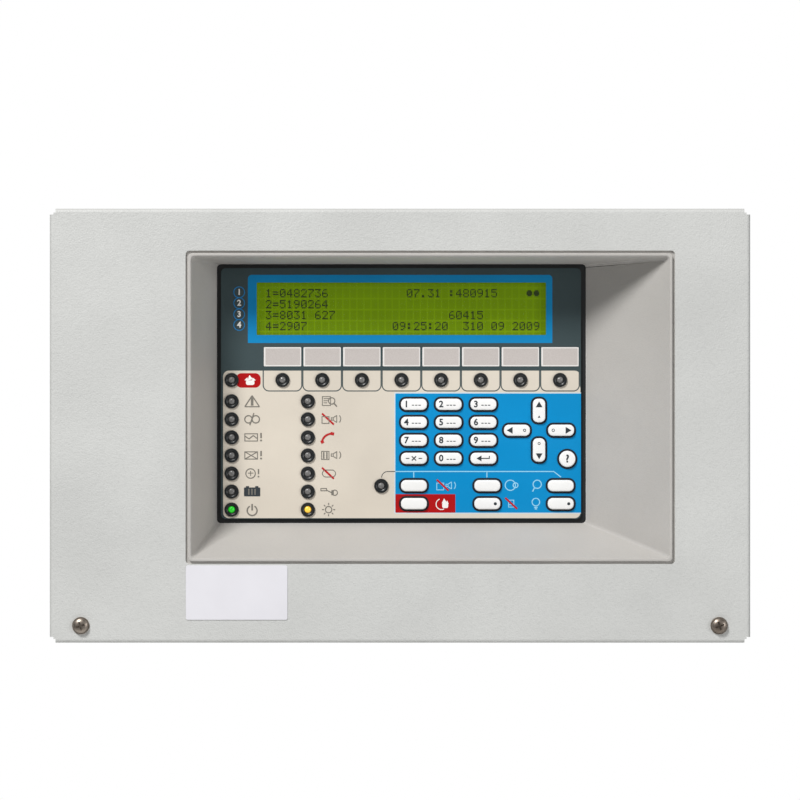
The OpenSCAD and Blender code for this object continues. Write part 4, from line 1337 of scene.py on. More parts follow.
@dataclass
class Enclosure(Assembly):
    """Back box, top-hung cover, hinges, bezel, label and screws."""

    screw: Flat = (161.6, -101.2)
    face_y: float = -125.0
    rim_y: float = -125.5
    rim_middle: Flat = (15.35, 9.35)
    rim_inner_half: Flat = (120.55, 75.95)
    rim_taken_off: float = 0.8
    finishes: ClassVar[dict[str, str]] = {
        "back_box": "box_coat", "box_side_left": "box_coat", "box_side_right": "box_coat",
        "front_cover": "cover_coat", "hinge_box_leaves": "zinc_plate", "hinge_cover_leaves": "zinc_plate",
        "hinge_pins": "zinc_plate", "bezel_nuts": "zinc_plate", "cable_grommets": "blanking_rubber",
        "name_label": "label_film", "earth_stud": "turned_brass", "recess_bezel": "bezel_moulding",
    }

    def on_inner_rim(self, *ends: Vector) -> bool:
        """Say whether an edge runs round the rim's inner outline.

        Args:
            *ends: Both ends of the edge, in millimetres.

        Returns:
            True where both ends lie on that outline.
        """
        half_x, half_z = self.rim_inner_half
        return all(
            end.y < self.rim_y + 0.02 and abs(end.x - self.rim_middle[0]) < half_x + 0.05
            and abs(end.z - self.rim_middle[1]) < half_z + 0.05
            for end in ends
        )

    def rounded_bezel(self, source: Thing) -> Thing:
        """Copy the bezel, narrow its rim and round the rim's edges.

        Args:
            source: The frame's bezel.

        Returns:
            The finished bezel.
        """
        Bench.pick(source)
        bpy.ops.object.duplicate()
        bezel = bpy.context.active_object
        bezel.parent = None
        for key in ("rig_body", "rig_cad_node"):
            del bezel[key]
        Bench.edit(bezel, "VERT")
        bpy.ops.mesh.remove_doubles(threshold=0.002 * MM)
        bpy.ops.mesh.dissolve_limited(angle_limit=math.radians(0.5))
        bpy.ops.mesh.select_mode(type="EDGE")
        Bench.choose_edges(bezel, self.on_inner_rim)
        across, up = (1 + self.rim_taken_off / half for half in self.rim_inner_half)
        middle = metres((self.rim_middle[0], self.rim_y, self.rim_middle[1]))
        bpy.ops.transform.resize(value=(across, 1, up), center_override=middle)
        Bench.choose_edges(bezel, lambda a, b: max(a.y, b.y) < self.rim_y + 0.02)
        bpy.ops.mesh.bevel(offset=0.35 * MM, segments=3, affect="EDGES", clamp_overlap=True)
        Bench.close()
        self.palette.dress(bezel, "bezel_moulding")
        return Bench.settle(bezel, "bezel_with_round_rim", 30)

    def cover_screw(self, side: int) -> Thing:
        """Turn one cover screw with its collar and cross recess.

        Args:
            side: -1 for the left screw, 1 for the right one.

        Returns:
            The screw.
        """
        x, z, y = side * self.screw[0], self.screw[1], self.face_y
        outline = (
            (2.0, 10.0), (2.0, 0.02), (4.4, 0.0), (4.4, -0.55), (4.2, -0.8), (3.85, -0.82),
            (3.8, -1.5), (3.55, -2.1), (3.0, -2.55), (2.2, -2.85), (1.2, -3.0),
        )
        head = Bench.turned((x, z), [(radius, y + along) for radius, along in outline], 40)
        for degrees in (18, 108):
            slot = Bench.block((x - 2.3, y - 3.4, z - 0.42), (x + 2.3, y - 1.7, z + 0.42), 0.12, 1)
            Bench.cut(head, Bench.rotate(slot, math.radians(degrees), "Y", (x, y, z)))
        return head

    def build(self) -> None:
        """Dress the enclosure and build its bezel and screws."""
        self.dress_nodes()
        bezel = self.rounded_bezel(self.nodes["recess_bezel"])
        self.hand_over(bezel, Body.COVER, "bezel_plastic", "recess_bezel")
        screws = self.palette.dress(Bench.join([self.cover_screw(-1), self.cover_screw(1)]), "screw_steel")
        Bench.settle(screws, "cross_head_screws", 28)
        self.hand_over(screws, Body.COVER, "screw_steel", "cover_screws")


@dataclass
class DisplayUnit(Assembly):
    """Fascia, window, display cell with its characters, label slips and the parts behind them."""

    first_column: float = -73.2
    column: float = 3.65
    dot: Flat = (0.6, 0.62)
    rows: tuple[float, ...] = (68.3, 62.6, 57.0, 51.3)
    face_y: float = -88.86
    finishes: ClassVar[dict[str, str]] = {
        "fascia_panel": "printed_overlay", "lcd_window": "clear_acrylic", "lcd_glass": "display_cell",
        "lcd_module": "pressed_black", "zone_labels": "label_card", "keypad_mat": "silicone",
        "display_board": "circuit_board", "display_chassis": "black_moulding", "chassis_screws": "screw_steel",
    }
    # Seven rows of five dots for each sign, from the top
    glyphs: ClassVar[dict[str, str]] = {
        "0": "01110 10001 10011 10101 11001 10001 01110",
        "1": "00100 01100 00100 00100 00100 00100 01110",
        "2": "01110 10001 00001 00010 00100 01000 11111",
        "3": "11111 00010 00100 00010 00001 10001 01110",
        "4": "00010 00110 01010 10010 11111 00010 00010",
        "5": "11111 10000 11110 00001 00001 10001 01110",
        "6": "00110 01000 10000 11110 10001 10001 01110",
        "7": "11111 00001 00010 00100 01000 01000 01000",
        "8": "01110 10001 10001 01110 10001 10001 01110",
        "9": "01110 10001 10001 01111 00001 00010 01100",
        ":": "00000 01100 01100 00000 01100 01100 00000",
        ".": "00000 00000 00000 00000 00000 01100 01100",
        "=": "00000 00000 11111 00000 11111 00000 00000",
        "#": "00000 01110 11111 11111 11111 01110 00000",
    }
    # Row, first column and signs of each group
    texts: tuple[tuple[int, int, str], ...] = (
        (0, 1, "1=0482736"), (0, 21, "07.31"), (0, 27, ":480915"), (0, 38, "##"), (1, 1, "2=5190264"),
        (2, 1, "3=8031"), (2, 8, "627"), (2, 27, "60415"), (3, 1, "4=2907"), (3, 19, "09:25:20"),
        (3, 29, "310"), (3, 33, "09"), (3, 36, "2009"),
    )

    def character(self, sign: str) -> Thing:
        """Set the dots of one character at the origin of its cell.

        Args:
            sign: Character to set.

        Returns:
            The character.
        """
        stencil = Stencil(self.face_y, 0.05)
        wide, high = (step * 0.46 for step in self.dot)
        for row, line in enumerate(self.glyphs[sign].split()):
            for column, mark in enumerate(line):
                if mark == "1":
                    x, z = (column + 0.5) * self.dot[0], (3 - row) * self.dot[1]
                    stencil.box(x - wide, x + wide, z - high, z + high)
        return stencil.finish()

    def characters(self) -> Thing:
        """Set every character of the display.

        Returns:
            The characters as one piece.
        """
        masters: dict[str, Thing] = {}
        copies = []
        for row, start, text in self.texts:
            for column, sign in enumerate(text, start):
                if sign not in masters:
                    masters[sign] = self.character(sign)
                place = (self.first_column + self.column * column, 0.0, self.rows[row])
                copies.append(Bench.twin(masters[sign], place))
        for master in masters.values():
            bpy.data.objects.remove(master)
        return Bench.join(copies)

    def build(self) -> None:
        """Dress the display unit and set its characters."""
        self.dress_nodes()
        characters = self.palette.dress(self.characters(), "display_ink")
        Bench.settle(characters, "display_characters")
        self.hand_over(characters, Body.COVER, "lcd_cell")


@dataclass
class Indicators(Assembly):
    """Black rings and their lenses."""

    zone_z: float = 23.4
    fire: Flat = (-87.0, 23.4)
    columns: Flat = (-87.0, -47.6)
    column_z: float = 12.4
    column_pitch: float = 9.33
    lone: Flat = (-9.7, -31.3)
    lit: ClassVar[dict[int, Lamp]] = {15: Lamp.GREEN, 22: Lamp.YELLOW}
    ring: tuple[Flat, ...] = (
        (3.55, -90.9), (3.7, -92.2), (3.7, -92.95), (3.55, -93.2), (3.25, -93.3), (2.7, -93.28), (2.3, -93.1),
        (1.85, -92.7), (1.75, -91.8),
    )
    lens: tuple[Flat, ...] = ((1.7, -91.4), (1.7, -92.5), (1.6, -92.8), (1.3, -93.1), (0.85, -93.3), (0.35, -93.4))

    def places(self) -> list[Flat]:
        """Return every indicator's place: fire, zones, left column, second column, the lone one."""
        zones = [(ZONE_X + ZONE_PITCH * i, self.zone_z) for i in range(8)]
        columns = [(x, self.column_z - self.column_pitch * i) for x in self.columns for i in range(7)]
        return [self.fire, *zones, *columns, self.lone]

    def row(self, outline: Sequence[Flat], places: Sequence[Flat], steps: int) -> Thing:
        """Turn one piece and copy it to every place.

        Args:
            outline: Radius and place along Y of each step.
            places: Places across and up.
            steps: Steps around it.

        Returns:
            The copies as one piece.
        """
        x, z = places[0]
        return Bench.row(Bench.turned((x, z), outline, steps), [(px - x, 0.0, pz - z) for px, pz in places[1:]])

    def build(self) -> None:
        """Build the rings and the lenses."""
        places = self.places()
        rings = self.palette.dress(self.row(self.ring, places, 32), "ring_moulding")
        Bench.settle(rings, "indicator_rings", 40)
        self.hand_over(rings, Body.COVER, "ring_black", "led_bezels")
        for lamp, finish, slot, *replaced in (
            (Lamp.OFF, "lens_dull", "lens_grey", "led_lenses"), (Lamp.GREEN, "lens_green", "lens_green"),
            (Lamp.YELLOW, "lens_yellow", "lens_yellow"),
        ):
            mine = [place for i, place in enumerate(places) if self.lit.get(i, Lamp.OFF) is lamp]
            lenses = self.palette.dress(self.row(self.lens, mine, 20), finish)
            Bench.settle(lenses, f"lenses_{lamp.value}", 50)
            self.hand_over(lenses, Body.COVER, slot, *replaced)


@dataclass
class Keypad(Assembly):
    """White keys with round ends, their marks and the dark rims around them."""

    wide: Flat = (13.4, 5.8)
    tall: Flat = (6.4, 12.2)
    corner: float = 2.6
    round_radius: float = 4.2
    number_x: tuple[float, ...] = (7.2, 25.15, 43.1)
    number_z: tuple[float, ...] = (10.8, 1.5, -7.8, -17.1)
    arrows: Flat = (71.8, -2.6)
    arrow_step: Flat = (11.4, 10.2)
    help_place: Flat = (86.4, -17.4)
    function_x: tuple[float, ...] = (7.2, 45.1, 83.0)
    function_z: tuple[float, ...] = (-31.2, -40.5)
    stem: tuple[Flat, ...] = ((1.85, -87.8), (2.0, -88.0))
    back_y: float = -89.7
    flange_y: float = -90.5
    flange: float = 0.5
    face_y: float = -94.2
    edge_drop: float = 0.62
    rim: Flat = (1.05, 0.9)
    drawings: ClassVar[dict[str, str]] = {
        "up": "wedge 0 2.7 2 90, wedge 0 -3.3 .8 90",
        "down": "wedge 0 -2.7 2 -90, ring 0 3.4 .75 .3",
        "left": "wedge -3.3 0 2 180, ring 3.9 0 .8 .35",
        "right": "wedge 3.3 0 2 0, ring -4.1 0 .8 .3",
        "escape": "bar -1.1 -1.1 1.1 1.1 .55, bar -1.1 1.1 1.1 -1.1 .55, bar -4.2 0 -2.4 0 .45, bar 2.4 0 4.2 0 .45",
        "enter": "bar -1.9 0 3 0 .5, bar 3 -.25 3 1.3 .5, wedge -1.9 0 1.7 180",
        "disable": "disc 4.1 0 .8",
        "lamp_test": "disc 4.1 0 .8",
    }

    def grid(self, names: str, across: Sequence[float], up: Sequence[float]) -> dict[str, tuple[float, ...]]:
        """Set out wide keys in rows of three.

        Args:
            names: Names of the keys without their key_.
            across: Middle of each column.
            up: Middle of each row.

        Returns:
            Place, width and height of every key, by its full name.
        """
        return {
            f"key_{name}": (across[index % 3], up[index // 3], *self.wide)
            for index, name in enumerate(names.split())
        }

    def layout(self) -> dict[str, tuple[float, ...]]:
        """Set out every key.

        Returns:
            Place, width and height of every key, by its full name.
        """
        x, z = self.arrows
        dx, dz = self.arrow_step
        return {
            **self.grid("1 2 3 4 5 6 7 8 9 escape 0 enter", self.number_x, self.number_z),
            "key_up": (x, z + dz, *self.tall),
            "key_down": (x, z - dz, *self.tall),
            "key_left": (x - dx, z, *self.wide),
            "key_right": (x + dx, z, *self.wide),
            "key_help": (*self.help_place, 2 * self.round_radius, 2 * self.round_radius),
            **self.grid("silence reset search evacuate disable lamp_test", self.function_x, self.function_z),
        }

    def cap(self, width: float, height: float) -> Thing:
        """Shape one key around the origin: flange, cap with a soft edge and crowned face, and stem.

        Args:
            width: Width of the cap.
            height: Height of the cap.

        Returns:
            The key.
        """
        Bench.clear()
        middle = metres((0, self.back_y, 0))
        bpy.ops.mesh.primitive_plane_add(size=MM, location=middle, rotation=FACING_FRONT)
        obj = Bench.fix()
        Bench.edit(obj)
        size = (width + 2 * self.flange, 1, height + 2 * self.flange)
        bpy.ops.transform.resize(value=size, center_override=middle)
        bpy.ops.mesh.bevel(offset=(self.corner + self.flange) * MM, segments=10, affect="VERTICES")
        bpy.ops.mesh.select_all(action="SELECT")
        Bench.push(self.flange_y - self.back_y)
        bpy.ops.mesh.inset(thickness=self.flange * MM, depth=0)
        Bench.push(self.face_y + self.edge_drop - self.flange_y)
        for inward, rise in ((0.08, 0.24), (0.16, 0.16), (0.26, 0.1), (0.5, 0.07), (0.8, 0.05)):
            bpy.ops.mesh.inset(thickness=inward * MM, depth=rise * MM)
        Bench.face_out()
        return Bench.join([obj, Bench.turned((0.0, 0.0), (*self.stem, (2.0, self.back_y - 0.05)), 20)])

    def round_cap(self) -> Thing:
        """Turn the round key around the origin and return it."""
        r, face, back = self.round_radius, self.face_y, self.back_y
        outline = (
            *self.stem, (2.0, back), (r + self.flange, back), (r + self.flange, self.flange_y), (r, self.flange_y),
            (r, face + self.edge_drop), (r - 0.08, face + 0.38), (r - 0.24, face + 0.22),
            (r - 0.5, face + 0.12), (r - 1.0, face + 0.05), (r - 1.8, face),
        )
        return Bench.turned((0.0, 0.0), outline, 40)

    def marks(self, sign: str, x: float, z: float) -> list[Thing]:
        """Print a key's mark.

        Args:
            sign: Key name without its key_.
            x: Middle of the key across.
            z: Middle of the key up.

        Returns:
            The printed marks.
        """
        front = self.face_y - 0.05
        if sign == "help":
            return [Bench.numeral("?", 5.6, (x, z), front)]
        if not sign.isdigit() and sign not in self.drawings:
            return []
        stencil = Stencil(front, 0.05)
        if sign in self.drawings:
            stencil.draw(self.drawings[sign], x, z)
            return [stencil.finish()]
        for step in range(3):
            stencil.bar(x - 1.1 + 1.7 * step, z - 0.45, x + 0.1 + 1.7 * step, z - 0.45, 0.42)
        return [Bench.numeral(sign, 4.6, (x - 3.9, z), front), stencil.finish()]

    def rims(self, keys: dict[str, tuple[float, ...]]) -> Thing:
        """Print the dark rim around every key.

        Args:
            keys: Place, width and height of every key.

        Returns:
            The rims.
        """
        stencil = Stencil(-92.46, 0.16)
        outside, thick = self.rim
        for name, (x, z, width, height) in keys.items():
            if name == "key_help":
                stencil.ring(x, z, self.round_radius + outside, thick, 40)
                continue
            w, h = width / 2 + outside, height / 2 + outside
            stencil.frame(x - w, x + w, z - h, z + h, thick, self.corner + 1.0)
        return stencil.finish()

    def build(self) -> None:
        """Build every key and the rims."""
        keys = self.layout()
        masters: dict[Flat, Thing] = {}
        for name, (x, z, *size) in keys.items():
            shape = tuple(size)
            if shape not in masters:
                cap = self.round_cap() if name == "key_help" else self.cap(*shape)
                masters[shape] = self.palette.dress(cap, "key_moulding")
            key = Bench.twin(masters[shape], (x, 0.0, z))
            printed = [self.palette.dress(mark, "ink_dark") for mark in self.marks(name.removeprefix("key_"), x, z)]
            key = Bench.settle(Bench.join([key, *printed]), f"{name}_cap", 40)
            self.hand_over(key, name, "key_white", name)
        for master in masters.values():
            bpy.data.objects.remove(master)
        rims = Bench.settle(self.palette.dress(self.rims(keys), "ink_black"), "key_rims")
        self.hand_over(rims, Body.COVER, "overlay")


@dataclass
class OverlayPrint(Assembly):
    """Signs and lines printed on the fascia's overlay."""

    front: float = -92.36
    left: float = -76.4
    second: float = -36.9
    row_z: float = 12.4
    row_pitch: float = 9.33
    number_x: float = -83.1
    numbers: tuple[tuple[str, float], ...] = (("1", 68.7), ("2", 63.1), ("3", 57.3), ("4", 51.8))

    def signs(self) -> dict[str, list[tuple[float, float, str]]]:
        """Set out the printed signs.

        Returns:
            Place and drawing of each sign, by ink.
        """
        mark = "bar 4.6 2.3 4.6 -.4 .8, disc 4.6 -1.6 .5"
        horn = (
            "frame 1.2 2.6 -.6 1 .35, bar 2.6 1 4.2 2 .4, bar 2.6 -.6 4.2 -1.6 .4, "
            "bar 4.2 -1.7 4.2 2.1 .4, arc 3.6 .2 2.9 .45 -42 42"
        )
        sounder = f"frame -3.6 .4 -2.3 1.6 .4, {horn}"
        slash = "bar -3.4 3 2.7 -2.7 .95"
        rays = []
        for angle in (math.pi / 4 * k for k in range(8)):
            x, z = math.cos(angle), math.sin(angle)
            rays.append(f"bar {2.4 * x} {2.4 * z} {3.4 * x} {3.4 * z} .5")
        rows = [self.row_z - self.row_pitch * k for k in range(7)]
        first = {
            0: "bar -3.7 -2.7 0 2.9 .6, bar 3.7 -2.7 0 2.9 .6, bar -3.9 -2.8 3.9 -2.8 .5, bar 0 -2.2 0 2.3 1.3",
            1: "ring -1.9 0 2.2 .6, ring 1.9 0 2.2 .6, bar -1.2 -3 .9 3.2 .6",
            2: "frame -4 3 -2.1 2.1 .45, bar -3.6 .6 -1.6 -.8 .5, bar -1.6 -.8 .6 1 .5, "
               f"bar .6 1 2.6 -.6 .5, {mark}",
            3: f"frame -4 3 -2.1 2.1 .45, bar -3.8 -1.9 2.8 1.9 .45, bar -3.8 1.9 2.8 -1.9 .45, {mark}",
            4: "ring -.8 0 2.7 .5, bar -2.2 .2 .6 .2 .4, bar -.8 -1.3 -.8 1.3 .4, bar 3.3 2.3 3.3 -.4 .7, "
               "disc 3.3 -1.6 .45",
            6: "arc 0 -.5 2.9 .7 118 422, bar 0 -.4 0 2.9 .8",
        }
        other = {
            0: "frame -3.4 1.2 -2.4 2.6 .4, bar -2.6 1.4 .4 1.4 .4, bar -2.6 .3 -.4 .3 .4, "
               "bar -2.6 -.8 -.8 -.8 .4, ring 1.6 .2 1.9 .5, bar 2.9 -1.2 4.3 -2.7 .7",
            1: sounder,
            3: f"frame -3.8 .4 -2.3 2.3 .4, bar -2.5 -1.7 -2.5 1.7 .7, bar -.9 -1.7 -.9 1.7 .7, {horn}",
            4: "arc -1.4 0 2 .4 90 270, arc 1.8 0 2 .4 -90 90, bar -1.4 1.8 1.8 1.8 .4, bar -1.4 -1.8 1.8 -1.8 .4",
            5: "frame -4.2 -.8 .2 1.8 .45, bar -.8 .6 1.6 -.6 .5, box 1.4 2.7 -1.9 .7 .3, ring 3.2 -.6 1.6 .45",
            6: ", ".join(["ring 0 0 1.9 .5", *rays]),
        }
        return {
            "ink_dark": [
                (self.left, rows[5], "box -4.2 4.2 -2.5 2.1 .4, box -3.2 -1.6 2.1 2.8, box 1.6 3.2 2.1 2.8"),
                (0.0, 0.0, "bar -2.4 -23.9 -6.4 -23.9 .35, arc -6.4 -27 3.28 .35 90 180"),
            ],
            "ink_grey": [
                (self.left - 0.1, rows[5], "box -1.9 -1.3 -1.7 1.4, box -.3 .3 -1.7 1.4, box 1.3 1.9 -1.7 1.4"),
                *((self.left, rows[k], drawing) for k, drawing in first.items()),
                *((self.second, rows[k], drawing) for k, drawing in other.items()),
            ],
            "ink_pale_blue": [
                (22.4, -31.3, sounder),
                (57.8, -31.3, "ring -.8 .3 2.9 .5, ring 1.9 .3 1.5 .5"),
                (70.5, -31.1, "ring .4 .6 2.4 .55, bar -1 -1.2 -2 -3.2 .6"),
                (57.8, -40.5, "frame -1.9 1.2 -2 2 .4, bar -1.9 -.6 1.2 -.6 .4"),
                (70.2, -40.5, "ring 0 .8 2.2 .5, bar -.9 -1.9 .9 -1.9 .6, bar -.6 -2.7 .6 -2.7 .6"),
                (0.0, 0.0, "bar -2.4 -23.9 79.5 -23.9 .5, bar 79.4 -23.9 83.2 -26.8 .5, "
                           "bar 7.1 -23.9 7.1 -27 .5, bar 44.9 -23.9 44.9 -27 .5"),
            ],
            "ink_red": [
                (self.second, rows[2], "arc 1.6 -3.2 5.6 1 96 166, bar 1 2.1 2.8 1.7 1.5, bar -3.6 -1.6 -2.9 -3 1.6"),
                (self.second, rows[1], slash), (self.second, rows[4], slash), (22.4, -31.1, slash),
                (57.8, -40.5, slash),
            ],
            "ink_white": [
                (-77.6, 23.2, "box -2 2.4 -2.4 0 1, wedge -1.6 .4 1.2 75, wedge .1 1.1 1.7 100, wedge 1.9 .3 1.2 110"),
                (22.0, -40.6, "arc -.6 -.2 3 .45 110 300, box -.2 2.9 -2.2 .6 .9, wedge .9 1.2 1.6 95, "
                              "wedge 2.3 .6 1.1 80"),
            ],
            "ink_blue": [(self.number_x, z, "ring 0 0 3 .42") for _, z in self.numbers],
        }

    def build(self) -> None:
        """Print every sign."""
        for ink, signs in self.signs().items():
            raised = {"ink_red": 0.05, "ink_grey": 0.03}.get(ink, 0.0)
            stencil = Stencil(self.front - raised)
            for x, z, drawing in signs:
                stencil.draw(drawing, x, z)
            printed = stencil.finish()
            if ink == "ink_white":
                digits = [Bench.numeral(text, 4.2, (self.number_x, z), self.front) for text, z in self.numbers]
                printed = Bench.join([printed, *digits])
            Bench.settle(self.palette.dress(printed, ink), f"overlay_{ink}")
            self.hand_over(printed, Body.COVER, "overlay")


@dataclass
class Batteries(Assembly):
    """Two sealed batteries with lids, vents and tabs, under their strap."""

    low: Point = (1.0, -67.0, -106.4)
    high: Point = (152.0, -2.0, -12.4)
    lid_z: float = -20.4
    tab_x: float = 13.0
    tab_y: tuple[float, ...] = (-57.0, -12.0)
    tab_top: float = -6.4
    finishes: ClassVar[dict[str, str]] = {"battery_strap": "zinc_plate"}

    def case(self) -> list[Thing]:
        """Shape the right battery's case, lid, vents and label, and return them."""
        (x0, y0, z0), (x1, y1, z1), lid = self.low, self.high, self.lid_z
        sizes = [
            ((x0, y0, z0), (x1, y1, lid - 0.7), 1.4, 3),
            ((x0 + 0.8, y0 + 0.8, lid - 1.6), (x1 - 0.8, y1 - 0.8, lid + 0.6), 0.3),
            ((x0, y0, lid), (x1, y1, z1 - 1.4), 0.9, 3),
            ((x0 + 26.0, y0 + 14.0, z1 - 1.9), (x1 - 6.0, y1 - 14.0, z1), 0.5),
        ]
        for vent in (x0 + 34.0 + 18.0 * k for k in range(6)):
            sizes.append(((vent, y0 + 20.0, z1 - 0.9), (vent + 10.0, y1 - 20.0, z1 - 0.02), 0.3))
        for y in self.tab_y:
            sizes.append(((self.tab_x - 7.0, y - 5.0, z1 - 1.9), (self.tab_x + 7.0, y + 5.0, z1 - 0.3), 0.6))
        parts = [self.palette.dress(Bench.block(*size), "battery_moulding") for size in sizes]
        plate = Bench.block((x0 + 12.0, y0 - 0.05, z0 + 56.0), (x1 - 12.0, y0 + 0.3, z0 + 76.0), 0.04, 1)
        return [*parts, self.palette.dress(plate, "label_film")]

    def tabs(self) -> list[Thing]:
        """Shape the right battery's two tabs, one on a red foot, and return them."""
        x, made = self.tab_x, []
        for y, finish in zip(self.tab_y, ("red_moulding", "black_moulding")):
            tab = Bench.block((x - 0.4, y - 3.15, -13.2), (x + 0.4, y + 3.15, self.tab_top), 0.25)
            foot = Bench.block((x - 5.0, y - 4.2, -13.2), (x + 5.0, y + 4.2, -11.9), 0.4)
            made += [self.palette.dress(tab, "tinned"), self.palette.dress(foot, finish)]
        return made

    def build(self) -> None:
        """Build both batteries and dress the strap."""
        self.dress_nodes()
        right = Bench.join(self.case() + self.tabs())
        left = Bench.twin(right, (0.0, 0.0, 0.0))
        Bench.edit(left)
        bpy.ops.transform.mirror(constraint_axis=(True, False, False), center_override=(0, 0, 0))
        Bench.face_out()
        for battery, name in ((right, "battery_right"), (left, "battery_left")):
            Bench.settle(battery, f"{name}_cased")
            self.hand_over(battery, Body.BOX, "battery_case", name)


@dataclass
class MainBoard(Assembly):
    """Main board with its relays, chips, cans, fuses, sockets and terminal screws, and the supply beside it."""

    face_y: float = -10.8
    left: float = -56.0
    base: float = 1.6
    way: float = 5.08
    leg_pitch: float = 2.0
    finishes: ClassVar[dict[str, str]] = {
        "main_board": "circuit_board", "board_standoffs": "turned_brass", "board_screws": "screw_steel",
        "terminal_blocks": "terminal_moulding", "power_supply": "supply_parts", "psu_cover": "supply_sheet",
        "mains_terminal": "black_moulding",
    }

    def raised(self, place: Flat, size: Point, finish: str, edge: float = 0.3) -> Thing:
        """Shape one block on the front of the board.

        Args:
            place: Its middle, across and up.
            size: Width, height, and how far it stands off the board.
            finish: Finish name.
            edge: Radius of its edges.

        Returns:
            The block.
        """
        (x, z), (width, height, depth) = place, size
        low = (x - width / 2, self.face_y - depth, z - height / 2)
        high = (x + width / 2, self.face_y + 0.02, z + height / 2)
        return self.palette.dress(Bench.block(low, high, edge), finish)

    def chip(self, place: Flat, size: Point, count: int) -> Thing:
        """Shape a chip with a row of legs along both sides.

        Args:
            place: Its middle, across and up.
            size: Width, height and thickness.
            count: Legs on a side.

        Returns:
            The chip.
        """
        body = self.raised(place, size, "chip_moulding")
        side = size[0] + 0.9
        corner = (place[0] - side / 2, place[1] - self.leg_pitch * (count - 1) / 2)
        leg = self.raised(corner, (1.1, 0.7, 1.3), "tinned", 0.08)
        shifts = [(across, 0.0, self.leg_pitch * k) for across in (0.0, side) for k in range(count)]
        return Bench.join([body, leg, *(Bench.twin(leg, shift) for shift in shifts[1:])])

    def fuse(self, x: float, z: float) -> Thing:
        """Shape a glass fuse with end caps in its two clips.

        Args:
            x: Its middle across.
            z: Its middle up.

        Returns:
            The fuse.
        """
        centre = (x, self.face_y - 6.5, z)
        glass = ((1.9, -6.0), (2.1, -5.9), (2.1, 5.9), (1.9, 6.0))
        cap = ((2.2, -2.6), (2.5, -2.3), (2.5, 2.3), (2.2, 2.6))
        parts = []
        for outline, shift, finish in ((glass, 0.0, "fuse_glass"), (cap, -7.4, "tinned"), (cap, 7.4, "tinned")):
            part = Bench.turned((x, z), [(r, centre[1] + shift + y) for r, y in outline], 16)
            parts.append(self.palette.dress(Bench.rotate(part, math.pi / 2, "Z", centre), finish))
            if shift:
                clip = (x + math.copysign(8.0, shift), z)
                parts.append(self.raised(clip, (4.0, 6.0, 4.5), "tinned"))
        return Bench.join(parts)

    def board_parts(self) -> Thing:
        """Shape everything that stands on the board.

        Returns:
            The parts as one piece.
        """
        place = (self.left + 66.0, self.base + 66.0)
        relay = Bench.join([
            self.raised(place, (19.0, 15.0, 15.1), "relay_moulding", 0.6),
            self.raised(place, (16.0, 12.0, 15.5), "relay_moulding", 0.2),
        ])
        outline = (
            (5.0, 0.0), (5.0, -0.8), (4.7, -1.4), (5.0, -2.0), (5.0, -17.4), (4.6, -17.9), (4.2, -18.0), (4.1, -17.7),
            (0.8, -17.7),
        )
        can = Bench.turned((-36.0, 47.1), [(r, self.face_y + y) for r, y in outline], 28)
        socket = self.raised((56.0, 20.0), (32.0, 8.0, 7.0), "socket_moulding", 0.4)
        slot = Bench.block((42.3, self.face_y - 8.0, 18.5), (69.7, self.face_y - 2.0, 21.5))
        return Bench.join([
            Bench.row(relay, [(22.0 * k, 0.0, 0.0) for k in (1, 2, 3)]),
            self.chip((70.0, 47.1), (22.0, 22.0, 2.0), 10),
            Bench.row(self.chip((22.0, 41.1), (6.4, 16.0, 2.4), 7), [(14.0, 0.0, 0.0), (28.0, 0.0, 0.0)]),
            Bench.row(self.chip((10.0, 15.6), (8.2, 6.0, 2.4), 3), [(14.0 * k, 0.0, 0.0) for k in (1, 2, 3)]),
            Bench.row(self.palette.dress(can, "can_sleeve"), [(14.0, 0.0, 0.0), (28.0, 0.0, 0.0)]),
            Bench.cut(socket, slot),
            self.raised((-34.0, 10.6), (20.0, 12.0, 10.0), "socket_moulding", 0.5),
            Bench.row(self.fuse(132.0, 21.6), [(0.0, 0.0, 13.0 * k) for k in (1, 2, 3)]),
        ])

    def terminal_screws(self) -> Thing:
        """Shape the slotted screws of the terminal blocks.

        Returns:
            The screws as one piece.
        """
        x, z = self.left + 14.0 + 2.3 + self.way / 2, self.base + 83.0 + 4.2
        outline = tuple((r, y - 20.8) for r, y in ((1.5, 2.4), (1.5, 0.75), (1.35, 0.6)))
        screw = Bench.turned((x, z), outline, 16)
        Bench.cut(screw, Bench.block((x - 2.0, -21.5, z - 0.25), (x + 2.0, -19.8, z + 0.25)))
        places = [(30.0 * block + self.way * way, 0.0, 0.0) for block in range(6) for way in range(5)]
        return Bench.row(screw, places[1:])

    def build(self) -> None:
        """Dress the boards and build what stands on the main one."""
        self.dress_nodes()
        parts = Bench.settle(self.board_parts(), "board_parts_detailed")
        self.hand_over(parts, Body.BOX, "part_mix", "board_parts")
        screws = self.palette.dress(self.terminal_screws(), "screw_steel")
        Bench.settle(screws, "terminal_screws")
        self.hand_over(screws, Body.BOX, "terminal_green")


